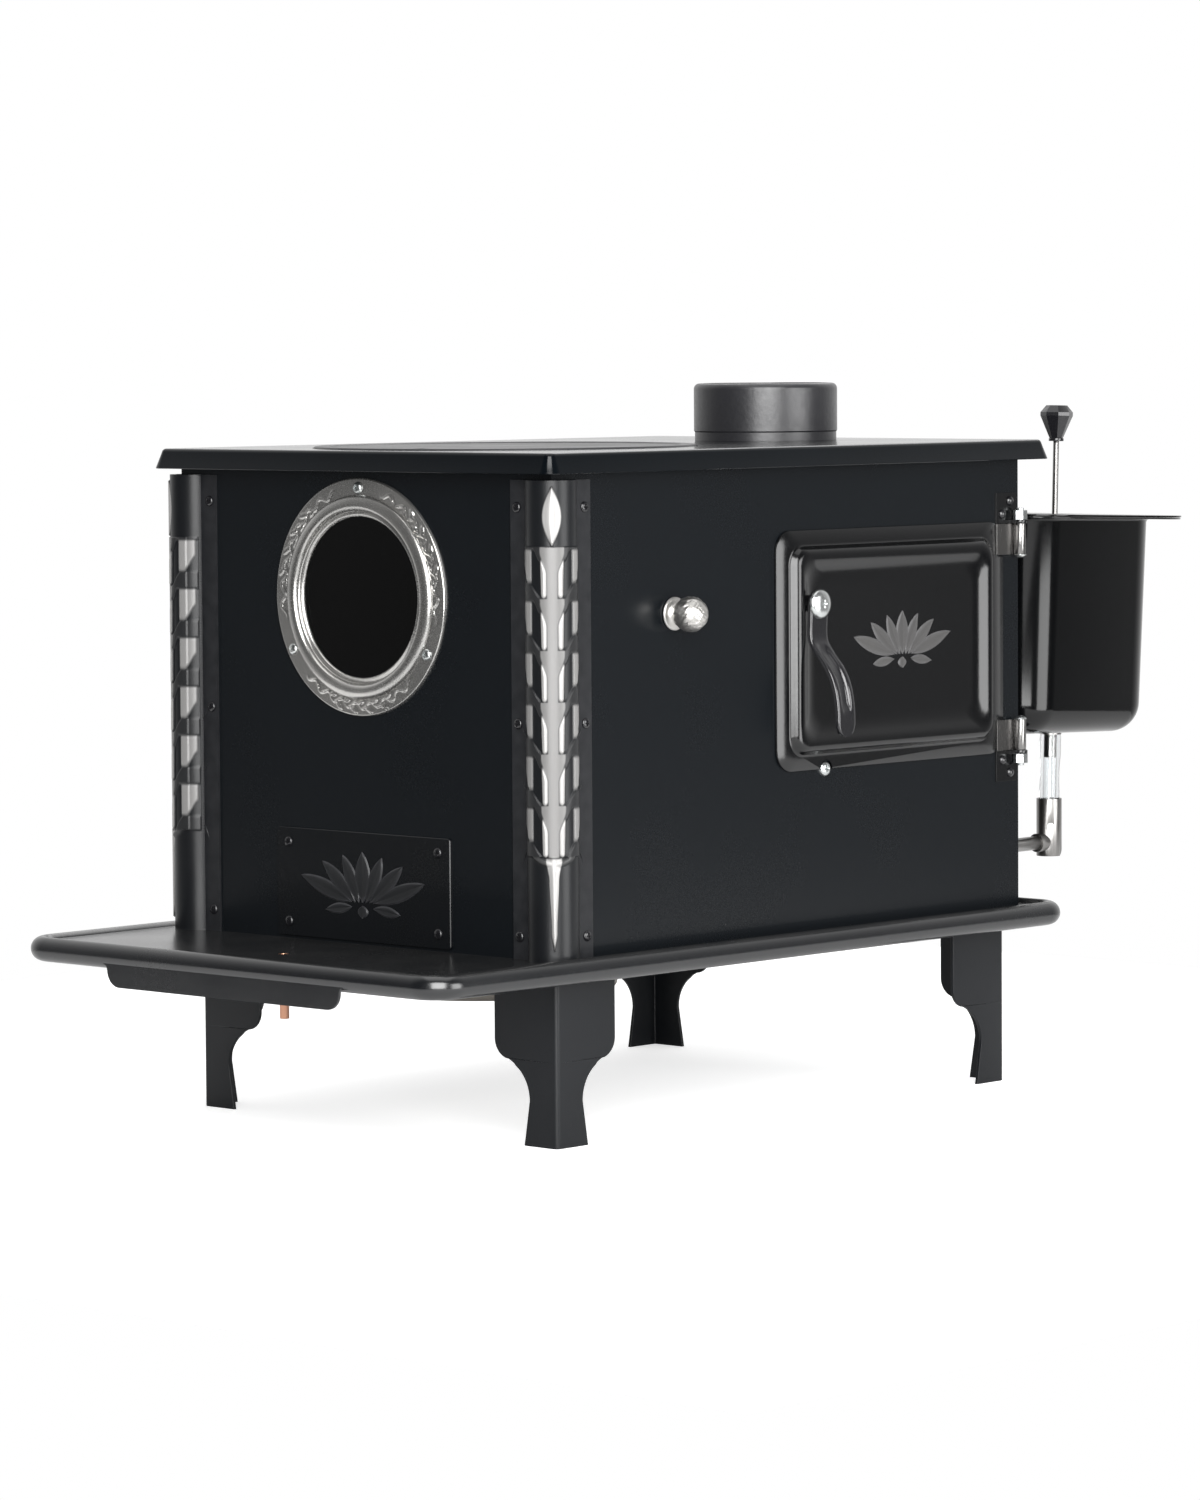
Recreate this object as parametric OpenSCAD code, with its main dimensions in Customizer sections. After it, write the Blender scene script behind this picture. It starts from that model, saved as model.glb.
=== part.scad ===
// Sheet-steel drip-burner stove with a fire door, a cooking top and a rear fuel tank.
// Millimetres. The window end looks along -Y, the fire door is on the +X side, the tank is at +Y.
// The origin lies on the floor under the middle of the stove's outline.

/* [Body] */
// Width across the side panels
body_w = 422; // [400:1:480]
// Depth from the front panel to the rear panel
body_d = 578; // [560:1:680]
// Height of the panels above the hearth tray
body_h = 395; // [385:1:450]
// Thickness of the body sheet
sheet_t = 3; // [2:0.5:4]

/* [Hearth tray] */
// How far the tray reaches past each side panel
tray_side_reach = 31; // [26:1:50]
// How far the tray reaches ahead of the front panel
tray_front_reach = 162; // [110:1:200]
// How far the tray reaches behind the rear panel
tray_rear_reach = 38; // [24:1:60]
// Thickness of the tray sheet
tray_t = 3; // [2:0.5:4]
// Radius of the tray's corners in plan
tray_corner_r = 30; // [24:1:60]
// Radius of the rolled rim
rim_r = 10; // [7:0.5:12]
// Width of the plain lip under the front rim
apron_w = 266; // [180:1:320]
// Depth of the plain lip below the rim's widest line
apron_drop = 24; // [16:1:32]
// Outer radius of the copper drain pipe
drain_r = 3.8; // [3:0.1:6]
// Length of the drain pipe below the tray
drain_drop = 49; // [30:1:70]

/* [Legs] */
// Height of the tray's underside above the floor
leg_h = 147; // [130:1:200]
// Width of each flange at the top of a leg
leg_w = 68; // [60:1:72]
// Width of each flange at the waist
leg_waist_w = 30; // [24:1:34]
// Width of each flange at the foot
leg_foot_w = 36; // [30:1:40]
// Thickness of the leg sheet
leg_t = 3; // [2:0.5:4]
// How far a leg's corner line stands in from the body's corner
leg_inset = 8; // [6:0.5:12]

/* [Top] */
// Thickness of the top plate
top_t = 4; // [3:0.5:6]
// Depth of the skirt around the top plate
skirt_h = 16.5; // [12:0.5:24]
// How far the top reaches past the side panels
top_side_reach = 17.5; // [10:0.5:24]
// How far the top reaches ahead of the front panel
top_front_reach = 19.5; // [10:0.5:26]
// How far the top reaches behind the rear panel
top_rear_reach = 26.5; // [10:0.5:40]
// Radius of the cooking lid
lid_r = 158; // [120:1:165]
// Thickness of the cooking lid
lid_t = 5; // [4:0.5:8]
// Distance of the lid's edge behind the front panel
lid_setback = 10; // [9:0.5:24]

/* [Flue] */
// Outer radius of the flue collar
flue_r = 62; // [50:0.5:64]
// Wall of the flue collar
flue_wall = 8; // [5:0.5:10]
// Height of the collar above the top plate
flue_h = 49; // [40:1:80]
// Centre of the collar ahead of the rear panel
flue_setback = 85; // [82:1:94]

/* [Corner columns] */
// Radius of the round column
column_r = 20.3; // [17:0.1:24]
// How far the column's axis lies inside the outer faces of the panels
column_in = 7.5; // [5:0.5:10]
// Distance of the column's top below the top edge of the panels
column_drop = 17.5; // [15:0.5:30]
// Wall of the column
column_wall = 4; // [3:0.5:6]
// Width of each column's screw flange
column_flange_w = 17; // [14:1:24]
// Thickness of the screw flange
column_flange_t = 2; // [1.5:0.5:3]
// Height of one row of leaves
leaf_pitch = 40.5; // [34:0.5:44]
// Number of rows of leaves
leaf_rows = 6; // [4:1:6]
// How far the leaves stand out of the column
leaf_relief = 3; // [1.5:0.25:4]

/* [Window] */
// Distance of the window's centre below the top edge of the panels
window_drop = 114; // [110:1:125]
// Outer radius of the window bezel
bezel_r = 96; // [88:0.5:100]
// Radius of the clear opening
window_clear_r = 65; // [50:0.5:66]
// Radius of the circle of bezel bolts
bezel_bolt_r = 88; // [84:0.5:90]
// Thickness of the glass
glass_t = 4; // [3:0.5:5]

/* [Lower cover] */
// Width of the lower cover plate
cover_w = 198; // [180:1:230]
// Height of the lower cover plate
cover_h = 89; // [80:1:95]

/* [Fire door] */
// Width of the door
door_w = 292; // [286:1:300]
// Height of the door
door_h = 197; // [193:1:205]
// Height of the door's centre above the tray
door_rise = 231.5; // [226:0.5:236]
// Thickness of the door sheet
door_t = 2; // [1.5:0.25:2.5]
// Height of the pressed bead over the door flange
bead_h = 6.5; // [5:0.5:8]
// Distance of the hinge axis ahead of the rear panel
hinge_setback = 6; // [5.5:0.5:9]
// Distance of the hinge axis outside the side panel
hinge_out = 7.5; // [7.5:0.5:10]
// Radius of the hinge bolts
hinge_bolt_r = 3; // [2.5:0.25:3.25]
// Height of each hinge barrel
barrel_h = 26; // [20:1:32]

/* [Door handle] */
// Width of the handle strip
handle_w = 22; // [18:1:26]
// Thickness of the handle strip
handle_t = 4; // [3:0.5:5]
// Length of the handle below its bolt
handle_drop = 108; // [96:1:120]
// How far the grip stands out from the strip
handle_bend = 29.5; // [24:0.5:36]
// Radius of the handle bolt
spindle_r = 4; // [3:0.5:4]

/* [Draught control] */
// Radius of the ball knob
ball_r = 14.5; // [11:0.5:17]
// Distance of the ball's centre from the side panel
ball_out = 18; // [17:0.5:26]
// Height of the draught rod above the tray
draught_rise = 268; // [262:1:274]
// Radius of the draught rod
draught_rod_r = 4; // [3:0.5:5]
// Travel of the draught slide
draught_travel = 40; // [30:1:45]

/* [Burner] */
// Outer radius of the burner pot
pot_r = 108; // [96:1:112]
// Wall of the burner pot
pot_wall = 4; // [3:0.5:6]
// Height of the pot's rim above the tray
pot_rise = 72; // [66:1:90]
// Depth of the pot below the tray floor
pot_drop = 47; // [30:1:60]
// Centre of the burner behind the front panel
burner_setback = 141; // [136:1:160]

/* [Fuel line] */
// Outer radius of the feed pipe
pipe_r = 6; // [5:0.5:7]
// Height of the feed pipe above the tray
pipe_rise = 47; // [44:1:54]
// Distance of the fuel outlet from the stove's centre plane
outlet_x = 172; // [160:1:176]
// Distance of the fuel outlet behind the tank's front wall
outlet_setback = 85; // [74:1:96]
// Outer radius of the fuel hose
hose_r = 9.1; // [8:0.1:9.2]
// Wall of the fuel hose
hose_wall = 3.8; // [3:0.1:3.9]
// Outer radius of the elbow
elbow_r = 11; // [10.8:0.1:12]

/* [Fuel tank] */
// Width of the tank between its side walls
tank_w = 275; // [260:1:300]
// Depth of the tank from its front wall to its rear wall
tank_d = 179; // [160:1:190]
// Height of the tank
tank_h = 188; // [170:1:190]
// Thickness of the tank sheet
tank_t = 1.5; // [1:0.25:2]
// Radius of the tank's upright corners at the rim
tank_corner_r = 36; // [36:1:44]
// Radius of the tank's bottom edge
tank_bottom_r = 26; // [18:1:26]
// How far the side walls lean in over the tank's height
tank_taper = 3; // [1:0.5:8]
// Width of the tank's rim
tank_flange_w = 30; // [20:1:32]
// Height of the tank's rim above the hearth tray at its hanger
tank_rise = 334; // [328:1:336]
// Gap between the tank's front wall and the rear panel
tank_gap = 14.5; // [12:0.5:22]
// Angle at which the hung tank leans back
tank_tilt = 1.9; // [0:0.1:3]
// Radius of the valve rod
rod_r = 2.5; // [2:0.25:3]
// Height of the knob's underside above the tank's rim
knob_rise = 65; // [60:1:80]
// Outer radius of the faceted knob
knob_r = 14.2; // [11:0.1:16]

/* [Fits] */
// Radial clearance of a shaft that turns or slides
running_fit = 0.08; // [0.02:0.01:0.1]
// Gap between parts that move past each other
move_gap = 0.3; // [0.2:0.05:0.4]
// Radial clearance of a fixing in its hole
hole_fit = 0.1; // [0.05:0.05:0.3]
// Radial clearance of pieces that are screwed or pressed together
thread_fit = 0.05; // [0.02:0.01:0.08]

/* [Hidden] */
$fn = 64;
over = 1;
tray_z = leg_h + tray_t;
half_w = body_w / 2;
front_y = -body_d / 2;
rear_y = body_d / 2;
plate_z = tray_z + body_h;
top_z = plate_z + top_t;
burner_y = front_y + burner_setback;
inner_x = half_w - sheet_t;

tray_w = body_w + 2 * tray_side_reach;
tray_d = body_d + tray_front_reach + tray_rear_reach;
tray_y = (tray_rear_reach - tray_front_reach) / 2;
rim_lift = 6;
rim_z = tray_z - rim_lift;
rim_web = 8;
pot_hole_gap = 1.5;
drain_y = front_y - tray_front_reach / 2 - 10;
drain_wall = 1;
drain_seat_r = drain_r + 0.8;
apron_t = 2.5;
apron_setback = 1.5;
apron_corner_r = 14;
apron_cove_r = 4;

bolt_r = 4;
bolt_head_r = 7.5;
bolt_head_h = 5.3;
bolt_nut_h = 6.5;
leg_tab = 36;
leg_foot_h = 36;
leg_cove_r = 32;
leg_shoulder_r = 16;
leg_shoulder_drop = 63;
leg_x = half_w - leg_inset;
leg_y = rear_y - leg_inset - 2;
leg_bolt_in = 18;

top_w = body_w + 2 * top_side_reach;
top_d = body_d + top_front_reach + top_rear_reach;
top_y = (top_rear_reach - top_front_reach) / 2;
top_corner_r = 12;
skirt_t = 4;
skirt_flare = 5;
lid_gap = 1;
lid_ledge = lid_setback - sheet_t - lid_gap - 0.5;
lid_y = front_y + lid_setback + lid_r;
lid_slot_w = 9;
flue_y = rear_y - flue_setback;
flue_edge_r = 5;
flue_seam_h = 7;
flue_flange = 10;
flue_step = 0.8;
flue_neck_r = flue_r - flue_step;

column_x = half_w - column_in;
column_y = front_y + column_in;
column_edge = sqrt(pow(column_r, 2) - pow(column_in + column_flange_t, 2));
column_screw_in = column_edge + column_flange_w / 2 + 1.5;
column_top_z = plate_z - column_drop;
screw_r = 2;
screw_head_r = 4.4;
screw_head_h = 2.2;
column_screw_rises = [18, 186, body_h - 39];
leaf_top_z = tray_z + body_h - 69;
oval_l = 47;
dagger_foot = 9;
dagger_l = leaf_top_z - leaf_rows * leaf_pitch - tray_z - dagger_foot;
relief_w = 14;

window_z = plate_z - window_drop;
crest_out_r = 79;
crest_in_r = 70;
bezel_t = 3;
crest_h = 7.5;
glass_margin = 11;
glass_r = window_clear_r + glass_margin;
glass_gap = 1.5;
gasket_t = 1;
retainer_t = 2;
bezel_bolt_shank_r = 2.5;

cover_t = 2;
cover_rise = 2;
cover_z = tray_z + cover_rise + cover_h / 2;
cover_screw_x = cover_w / 2 - 13.5;
cover_screw_z = cover_h / 2 - 12;
petal_h = 1;

hinge_y = rear_y - hinge_setback;
hinge_x = half_w + hinge_out;
door_lift = 0.5;
door_edge_gap = 17;
door_y = hinge_y - door_edge_gap - door_w / 2;
door_z = tray_z + door_rise;
door_corner_r = 18;
bead_w = door_w - 32;
bead_d = door_h - 25;
bead_slope = 6.5;
bead_crest = 6.5;
recess_slope = 14;
recess_lift = 2;
bead_inset = bead_slope + bead_crest + recess_slope;
recess_w = bead_w - 2 * bead_inset;
recess_h = bead_d - 2 * bead_inset;
bead_corner_r = 16;
recess_corner_r = 12;
opening_inset = bead_slope + 8;
opening_w = bead_w - 2 * opening_inset;
opening_h = bead_d - 2 * opening_inset;
rope_r = 3.1;
rope_inset = 10;
liner_t = 1.2;
barrel_wall = 1.7;
barrel_r = hinge_bolt_r + running_fit + barrel_wall;
lug_t = 3;
hinge_plate_t = 1.5;
hinge_nut_h = 8;
hinge_nut_r = 6.2;
hinge_head_h = 3;
bracket_arm = 14;
bracket_arm_w = 20;
bracket_lug_r = 6;
bracket_plate_reach = 25;
bracket_plate_w = 27;
bracket_plate_h = 26;
rivet_spots = [[-17, 8], [-7, 19]];
rivet_head_r = 4.2;
rivet_head_h = 3.2;
upper_barrel_z = door_z + door_h / 2 - 2 - barrel_h;
lower_barrel_z = door_z - door_h / 2 + 2;

spindle_y = door_y - door_w / 2 + 40.5;
spindle_z = door_z + 38.5;
boss_r = 7;
boss_h = bead_h + door_t + 0.6;
tongue_t = 3;
tongue_w = 14;
tongue_l = 30;
tongue_in = 2;
keeper_t = 1;
stop_bolt_back = 20.5;
stop_bolt_r = 6.4;
handle_x = half_w + door_lift + boss_h + move_gap;
handle_tip_x = handle_x + handle_bend + handle_t;

draught_z = tray_z + draught_rise;
knob_base_r = 13.5;
knob_neck_r = 7;
knob_neck_h = 5;
draught_guide_l = 30;
slide_w = 110;
slide_l = 80;
slide_t = 2;
slide_lug_w = 22;
rail_t = 2;
rail_lip = 8;
draught_rod_l = sheet_t + draught_guide_l + draught_travel + slide_l / 2 + 12;
rail_l = draught_rod_l + slide_l / 2;

pot_flange = 14;
pot_top_z = tray_z + pot_rise;
pot_bottom_z = tray_z - pot_drop;
pot_edge_r = 6;
air_hole_r = 3;
air_holes = 16;
ring_in_r = 70;
ring_t = 4;
baffle_z = plate_z - 48;
baffle_l = 245;
rail_leg = 20;

pipe_z = tray_z + pipe_rise;
pipe_wall = 1.5;
pipe_bend_r = 24;

tank_hang_y = rear_y + sheet_t / 3;
tank_rim_z = tray_z + tank_rise;
tank_x = half_w + 7 - tank_w / 2;
tank_front = tank_gap - sheet_t / 3;
outlet_local_y = tank_front + outlet_setback;
barb_r = hose_r - hose_wall - 0.05;
barb_l = 20;
nut_h = 8;
nut_r = 12;
outlet_collar_r = 9.5;
outlet_collar_h = 2;
outlet_thread_r = 7.5;
seat_h = 20;
inlet_z = tank_t + nut_h + 4;
plug_r = 5;
socket_h = 12;
socket_gap = 0.7;
elbow_screw_r = 1.6;
elbow_screw_l = 5;
elbow_screw_head_r = 3.2;
elbow_seat = 0.5;
elbow_top_z = pipe_z + 38;
elbow_drop = tank_rim_z - elbow_top_z + socket_h / 2 - outlet_local_y * sin(tank_tilt);
outlet_y = tank_hang_y + outlet_local_y * cos(tank_tilt) - elbow_drop * tan(tank_tilt);
knob_h = 31;
lid_sheet_t = 1.5;
palmette_spot = [10, -8];
palmette_h = 36;
spindle_tail = 22;
spindle_head_r = 12.3;
spindle_head_h = 5.5;
keeper_w = 19;
keeper_h = 28;
keeper_back = 1.5;
handle_line = [[0, -11], [0, 29], [0.25, 41], [0.66, 55], [0.9, 70], [1, 88], [1, handle_drop]];
lid_margin = 6;
slot_w = 2 * rod_r + 5;
slot_spare = 20;
hanger_t = 3;
hanger_gap = 1;
hanger_drop = 30;
hanger_top_z = tank_rim_z - tank_t - tank_front * sin(tank_tilt);

outline_x = [-tray_w / 2, max(handle_tip_x, half_w + ball_out + ball_r, tank_x + tank_w / 2 + tank_flange_w)];
tank_back = tank_front + tank_d + tank_flange_w;
outline_y = [
    front_y - tray_front_reach,
    max(rear_y + tray_rear_reach, tank_hang_y + tank_back * cos(tank_tilt))
];
mid_x = (outline_x[0] + outline_x[1]) / 2;
mid_y = (outline_y[0] + outline_y[1]) / 2;

// Moves the stove from its own centre planes to the origin
module placed() {
    translate([-mid_x, -mid_y, 0]) children();
}

// Lays a shape on the front panel: its x runs to the right, its y up and its z out of the stove
module on_front(x, z, out = 0) {
    translate([x, front_y - out, z]) rotate([90, 0, 0]) children();
}

// Lays a shape on the right panel: its x runs to the rear, its y up and its z out of the stove
module on_right(y, z, out = 0) {
    translate([half_w + out, y, z]) rotate([90, 0, 90]) children();
}

// Hangs a shape on the tank's hanger: its y runs to the rear and its z up from the rim
module on_tank(x = 0, y = 0, z = 0) {
    translate([0, tank_hang_y, tank_rim_z]) rotate([-tank_tilt, 0, 0]) translate([x, y, z]) children();
}

module rounded(w, d, r) {
    square([w - 2 * r, d], center = true);
    square([w, d - 2 * r], center = true);
    for (x = [-1, 1], y = [-1, 1]) {
        translate([x * (w / 2 - r), y * (d / 2 - r)]) circle(r);
    }
}

module slab(w, d, r, t) {
    linear_extrude(t) rounded(w, d, r);
}

// Sweeps a profile round a rounded rectangle: the profile's x points outwards and its y up
module around(w, d, r) {
    for (i = [0:3]) {
        run = i % 2 == 0 ? d : w;
        reach = i % 2 == 0 ? w : d;
        rotate(90 * i) {
            translate([reach / 2, run / 2 - r, 0]) rotate([90, 0, 0]) linear_extrude(run - 2 * r) children();
            translate([reach / 2 - r, run / 2 - r, 0]) rotate_extrude(angle = 90) translate([r, 0]) children();
        }
    }
}

function arc(c, r, from, to, steps = 8) =
    [for (i = [0:steps]) c + r * [cos(from + (to - from) * i / steps), sin(from + (to - from) * i / steps)]];

// A leaf with a point at each end, standing on its lower point
function leaf(length, width, steps = 8) = concat(
    [for (i = [0:steps]) [width / 2 * sin(180 * i / steps), length * i / steps]],
    [for (i = [1:steps - 1]) [-width / 2 * sin(180 * i / steps), length * (1 - i / steps)]]
);

module hex_nut(r, h, bore_r) {
    difference() {
        cylinder(r = r, h = h, $fn = 6);
        translate([0, 0, -over]) cylinder(r = bore_r, h = h + 2 * over, $fn = 32);
    }
}

module dome(r, h) {
    cap_r = (r * r + h * h) / (2 * h);
    rotate_extrude() intersection() {
        translate([0, h - cap_r]) circle(cap_r);
        square([r, h]);
    }
}

// A fan of leaves like a carved palmette
module palmette(height) {
    tilts = [26, 50, 72];
    lengths = [1.02, 1.2, 1.5];
    linear_extrude(petal_h) {
        polygon(leaf(height, height * 0.44));
        for (side = [-1, 1], i = [0:2]) {
            translate([side * height * 0.1 * (i + 1), 0]) rotate(-side * tilts[i])
                polygon(leaf(height * lengths[i], height * 0.34));
        }
        for (side = [-1, 1]) {
            translate([side * height * 0.3, -height * 0.1]) rotate(-side * 97)
                polygon(leaf(height * 0.75, height * 0.22));
        }
        translate([0, -height * 0.32]) polygon(leaf(height * 0.26, height * 0.3));
    }
}

module at_legs() {
    for (x = [-1, 1], y = [-1, 1]) {
        translate([x * (leg_x - leg_bolt_in), y * (leg_y - leg_bolt_in), 0]) children();
    }
}

module hearth_tray() placed() color("#23262b") difference() {
    translate([0, tray_y, 0]) {
        translate([0, 0, leg_h]) {
            edge = rim_r + rim_web;
            slab(tray_w - 2 * edge, tray_d - 2 * edge, tray_corner_r - edge, tray_t);
        }
        translate([0, 0, rim_z]) around(tray_w, tray_d, tray_corner_r) {
            difference() {
                translate([-rim_r, 0]) circle(rim_r);
                translate([-rim_r, 0]) circle(rim_r - tray_t);
                translate([-2 * rim_r, -rim_r]) square([rim_r, 2 * rim_r - tray_t]);
            }
            polygon([
                [-rim_r - rim_web, rim_lift - tray_t], [-rim_r - rim_web, rim_lift],
                [-rim_r, rim_r], [-rim_r, rim_r - tray_t]
            ]);
        }
    }
    translate([0, burner_y, leg_h - over]) cylinder(r = pot_r + pot_hole_gap, h = tray_t + 2 * over);
    at_legs() translate([0, 0, leg_h - over]) cylinder(r = bolt_r + hole_fit, h = tray_t + 2 * over);
    translate([0, drain_y, leg_h - over]) cylinder(r = drain_seat_r + thread_fit, h = tray_t + 2 * over);
}

// Lip that hangs from the underside of the front rim, cut to the rim's round
module tray_apron() placed() color("#23262b") difference() {
    edge_y = front_y - tray_front_reach + apron_setback + apron_t;
    translate([0, edge_y, rim_z]) rotate([90, 0, 0]) linear_extrude(apron_t) {
        for (side = [0, 1]) mirror([side, 0]) polygon(concat(
            [[-over, 0], [-over, -apron_drop]],
            arc([apron_w / 2 - apron_corner_r, apron_corner_r - apron_drop], apron_corner_r, -90, -10),
            arc([apron_w / 2 + apron_cove_r, -rim_r], apron_cove_r, 180, 90, 4),
            [[apron_w / 2 + apron_cove_r, 0]]
        ));
    }
    translate([0, front_y - tray_front_reach + rim_r, rim_z]) rotate([0, 90, 0]) {
        cylinder(r = rim_r, h = 2 * apron_w, center = true);
    }
}

module drain_pipe() placed() color("#b87850") difference() {
    translate([0, drain_y, leg_h - drain_drop]) {
        cylinder(r = drain_r, h = drain_drop + tray_t);
        translate([0, 0, drain_drop]) cylinder(r = drain_seat_r, h = tray_t);
    }
    translate([0, drain_y, leg_h - drain_drop - over]) {
        cylinder(r = drain_r - drain_wall, h = drain_drop + tray_t + 2 * over);
    }
}

module leg_outline() {
    shoulder = [leg_w - leg_shoulder_r, leg_h - leg_shoulder_drop];
    polygon(concat(
        [[0, 0], [leg_foot_w, 0]],
        arc([leg_waist_w + leg_cove_r, leg_foot_h], leg_cove_r, 180, 122),
        arc(shoulder, leg_shoulder_r, -96, 0),
        [[leg_w, leg_h], [0, leg_h]]
    ));
}

// One leg bent from sheet, with a bolted tab under the tray
module leg(x, y) {
    flips = [x > 0 ? 1 : 0, y > 0 ? 1 : 0];
    color("#3c3f45") translate([x * leg_x, y * leg_y, 0]) mirror([flips[0], 0, 0]) mirror([0, flips[1], 0]) {
        translate([0, leg_t, 0]) rotate([90, 0, 0]) linear_extrude(leg_t) leg_outline();
        rotate([90, 0, 90]) linear_extrude(leg_t) leg_outline();
        difference() {
            translate([0, 0, leg_h - leg_t]) cube([leg_tab, leg_tab, leg_t]);
            translate([leg_bolt_in, leg_bolt_in, leg_h - leg_t - over]) {
                cylinder(r = bolt_r + hole_fit, h = leg_t + 2 * over);
            }
        }
    }
}

module leg_front_left() placed() leg(-1, -1);
module leg_front_right() placed() leg(1, -1);
module leg_rear_left() placed() leg(-1, 1);
module leg_rear_right() placed() leg(1, 1);

module leg_bolts() placed() color("#8e9298") at_legs() {
    translate([0, 0, tray_z]) cylinder(r = bolt_head_r, h = bolt_head_h, $fn = 6);
    translate([0, 0, leg_h - leg_t - bolt_nut_h - 2]) cylinder(r = bolt_r, h = bolt_nut_h + 2 + leg_t + tray_t);
}

module leg_nuts() placed() color("#8e9298") at_legs() {
    translate([0, 0, leg_h - leg_t - bolt_nut_h]) hex_nut(bolt_head_r, bolt_nut_h, bolt_r + thread_fit);
}

// Places a fixing at each screw of the columns: its z points out of the panel
module at_column_screws() {
    for (rise = column_screw_rises) {
        for (side = [-1, 1]) {
            on_front(side * (column_x - column_screw_in), tray_z + rise) children();
            translate([side * half_w, column_y + column_screw_in, tray_z + rise]) {
                rotate([0, side * 90, 0]) children();
            }
        }
    }
}

module screw_holes() {
    translate([0, 0, -sheet_t - over]) cylinder(r = screw_r + hole_fit, h = sheet_t + column_flange_t + 2 * over);
}

module at_cover_screws() {
    for (x = [-1, 1], z = [-1, 1]) {
        on_front(x * cover_screw_x, cover_z + z * cover_screw_z) children();
    }
}

module at_bezel_bolts() {
    for (angle = [90, 210, 330]) {
        on_front(bezel_bolt_r * cos(angle), window_z + bezel_bolt_r * sin(angle)) children();
    }
}

module front_panel() placed() color("#1b1e24") difference() {
    translate([-half_w, front_y, tray_z]) cube([2 * half_w, sheet_t, body_h]);
    on_front(0, window_z, -sheet_t - over) cylinder(r = glass_r + glass_gap, h = sheet_t + 2 * over);
    translate([-cover_w / 2 + 24, front_y - over, cover_z - cover_h / 2 + 20]) {
        cube([cover_w - 48, sheet_t + 2 * over, cover_h - 40]);
    }
    at_column_screws() screw_holes();
    at_cover_screws() screw_holes();
    at_bezel_bolts() translate([0, 0, -sheet_t - over]) {
        cylinder(r = bezel_bolt_shank_r + hole_fit, h = sheet_t + 2 * over);
    }
}

module side_panel() {
    start_y = front_y + sheet_t;
    translate([inner_x, start_y, tray_z]) cube([sheet_t, rear_y - start_y, body_h]);
}

module left_panel() placed() color("#1b1e24") difference() {
    mirror([1, 0, 0]) side_panel();
    at_column_screws() screw_holes();
}

module right_panel() placed() color("#1b1e24") difference() {
    side_panel();
    at_column_screws() screw_holes();
    on_right(door_y, door_z, -sheet_t - over) slab(opening_w, opening_h, 10, sheet_t + 2 * over);
    on_right(burner_y, draught_z, -sheet_t - over) {
        cylinder(r = draught_rod_r + 4 * hole_fit, h = sheet_t + 2 * over);
    }
    at_stop_bolt() translate([0, 0, -sheet_t - over]) cylinder(r = screw_r + 1 + hole_fit, h = sheet_t + 2 * over);
    at_bracket_rivets() translate([0, 0, -sheet_t - over]) {
        cylinder(r = screw_r + hole_fit, h = sheet_t + 2 * over);
    }
}

module rear_panel() placed() color("#1b1e24") difference() {
    translate([-inner_x, rear_y - sheet_t, tray_z]) cube([2 * inner_x, sheet_t, body_h]);
    translate([outlet_x, rear_y + over, pipe_z]) rotate([90, 0, 0]) {
        cylinder(r = pipe_r + 4 * hole_fit, h = sheet_t + 2 * over);
    }
    at_hanger_screws() translate([0, 0, -sheet_t - over]) {
        cylinder(r = screw_r + 1 + hole_fit, h = sheet_t + 2 * over);
    }
}

// Round column over the corner of the panels, with rows of leaves, drawn for the right corner
module column() {
    root_r = column_r - column_wall;
    rows = [for (k = [0:leaf_rows - 1]) let (z = leaf_top_z - k * leaf_pitch) each [
        [column_r, z],
        [column_r + 0.55 * leaf_relief, z - 0.35 * leaf_pitch],
        [column_r + leaf_relief, z - 0.8 * leaf_pitch],
        [column_r + 0.7 * leaf_relief, z - 0.98 * leaf_pitch]
    ]];
    last_z = leaf_top_z - leaf_rows * leaf_pitch;
    difference() {
        union() {
            difference() {
                translate([column_x, column_y, 0]) rotate(180) rotate_extrude(angle = 270) polygon(concat(
                    [[root_r, tray_z], [root_r, column_top_z], [column_r, column_top_z]],
                    rows,
                    [[column_r, last_z], [column_r, tray_z]]
                ));
                translate([half_w - 3 * column_r, front_y, tray_z - over]) cube([3 * column_r, 3 * column_r, body_h]);
            }
            flange_l = column_flange_w + column_wall / 2;
            flange_h = column_top_z - tray_z;
            translate([column_x - column_edge - column_flange_w, front_y - column_flange_t, tray_z]) {
                cube([flange_l, column_flange_t, flange_h]);
            }
            translate([half_w, column_y + column_edge - column_wall / 2, tray_z]) {
                cube([column_flange_t, flange_l, flange_h]);
            }
            translate([column_x, column_y, 0]) rotate([90, 0, 45]) {
                translate([0, leaf_top_z, column_r - 1.6]) linear_extrude(leaf_relief) polygon(leaf(oval_l, relief_w));
                translate([0, last_z - dagger_l, column_r - 1.6]) linear_extrude(leaf_relief) {
                    polygon(concat([[0, 0]], arc([0, dagger_l - relief_w / 2], relief_w / 2, 0, 180)));
                }
            }
        }
        at_column_screws() screw_holes();
    }
}

module column_left() placed() color("#2c2e33") mirror([1, 0, 0]) column();
module column_right() placed() color("#2c2e33") column();

module column_screws() placed() color("#151515") at_column_screws() {
    translate([0, 0, -sheet_t - 2]) cylinder(r = screw_r, h = sheet_t + column_flange_t + 2);
    translate([0, 0, column_flange_t]) dome(screw_head_r, screw_head_h);
}

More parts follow.
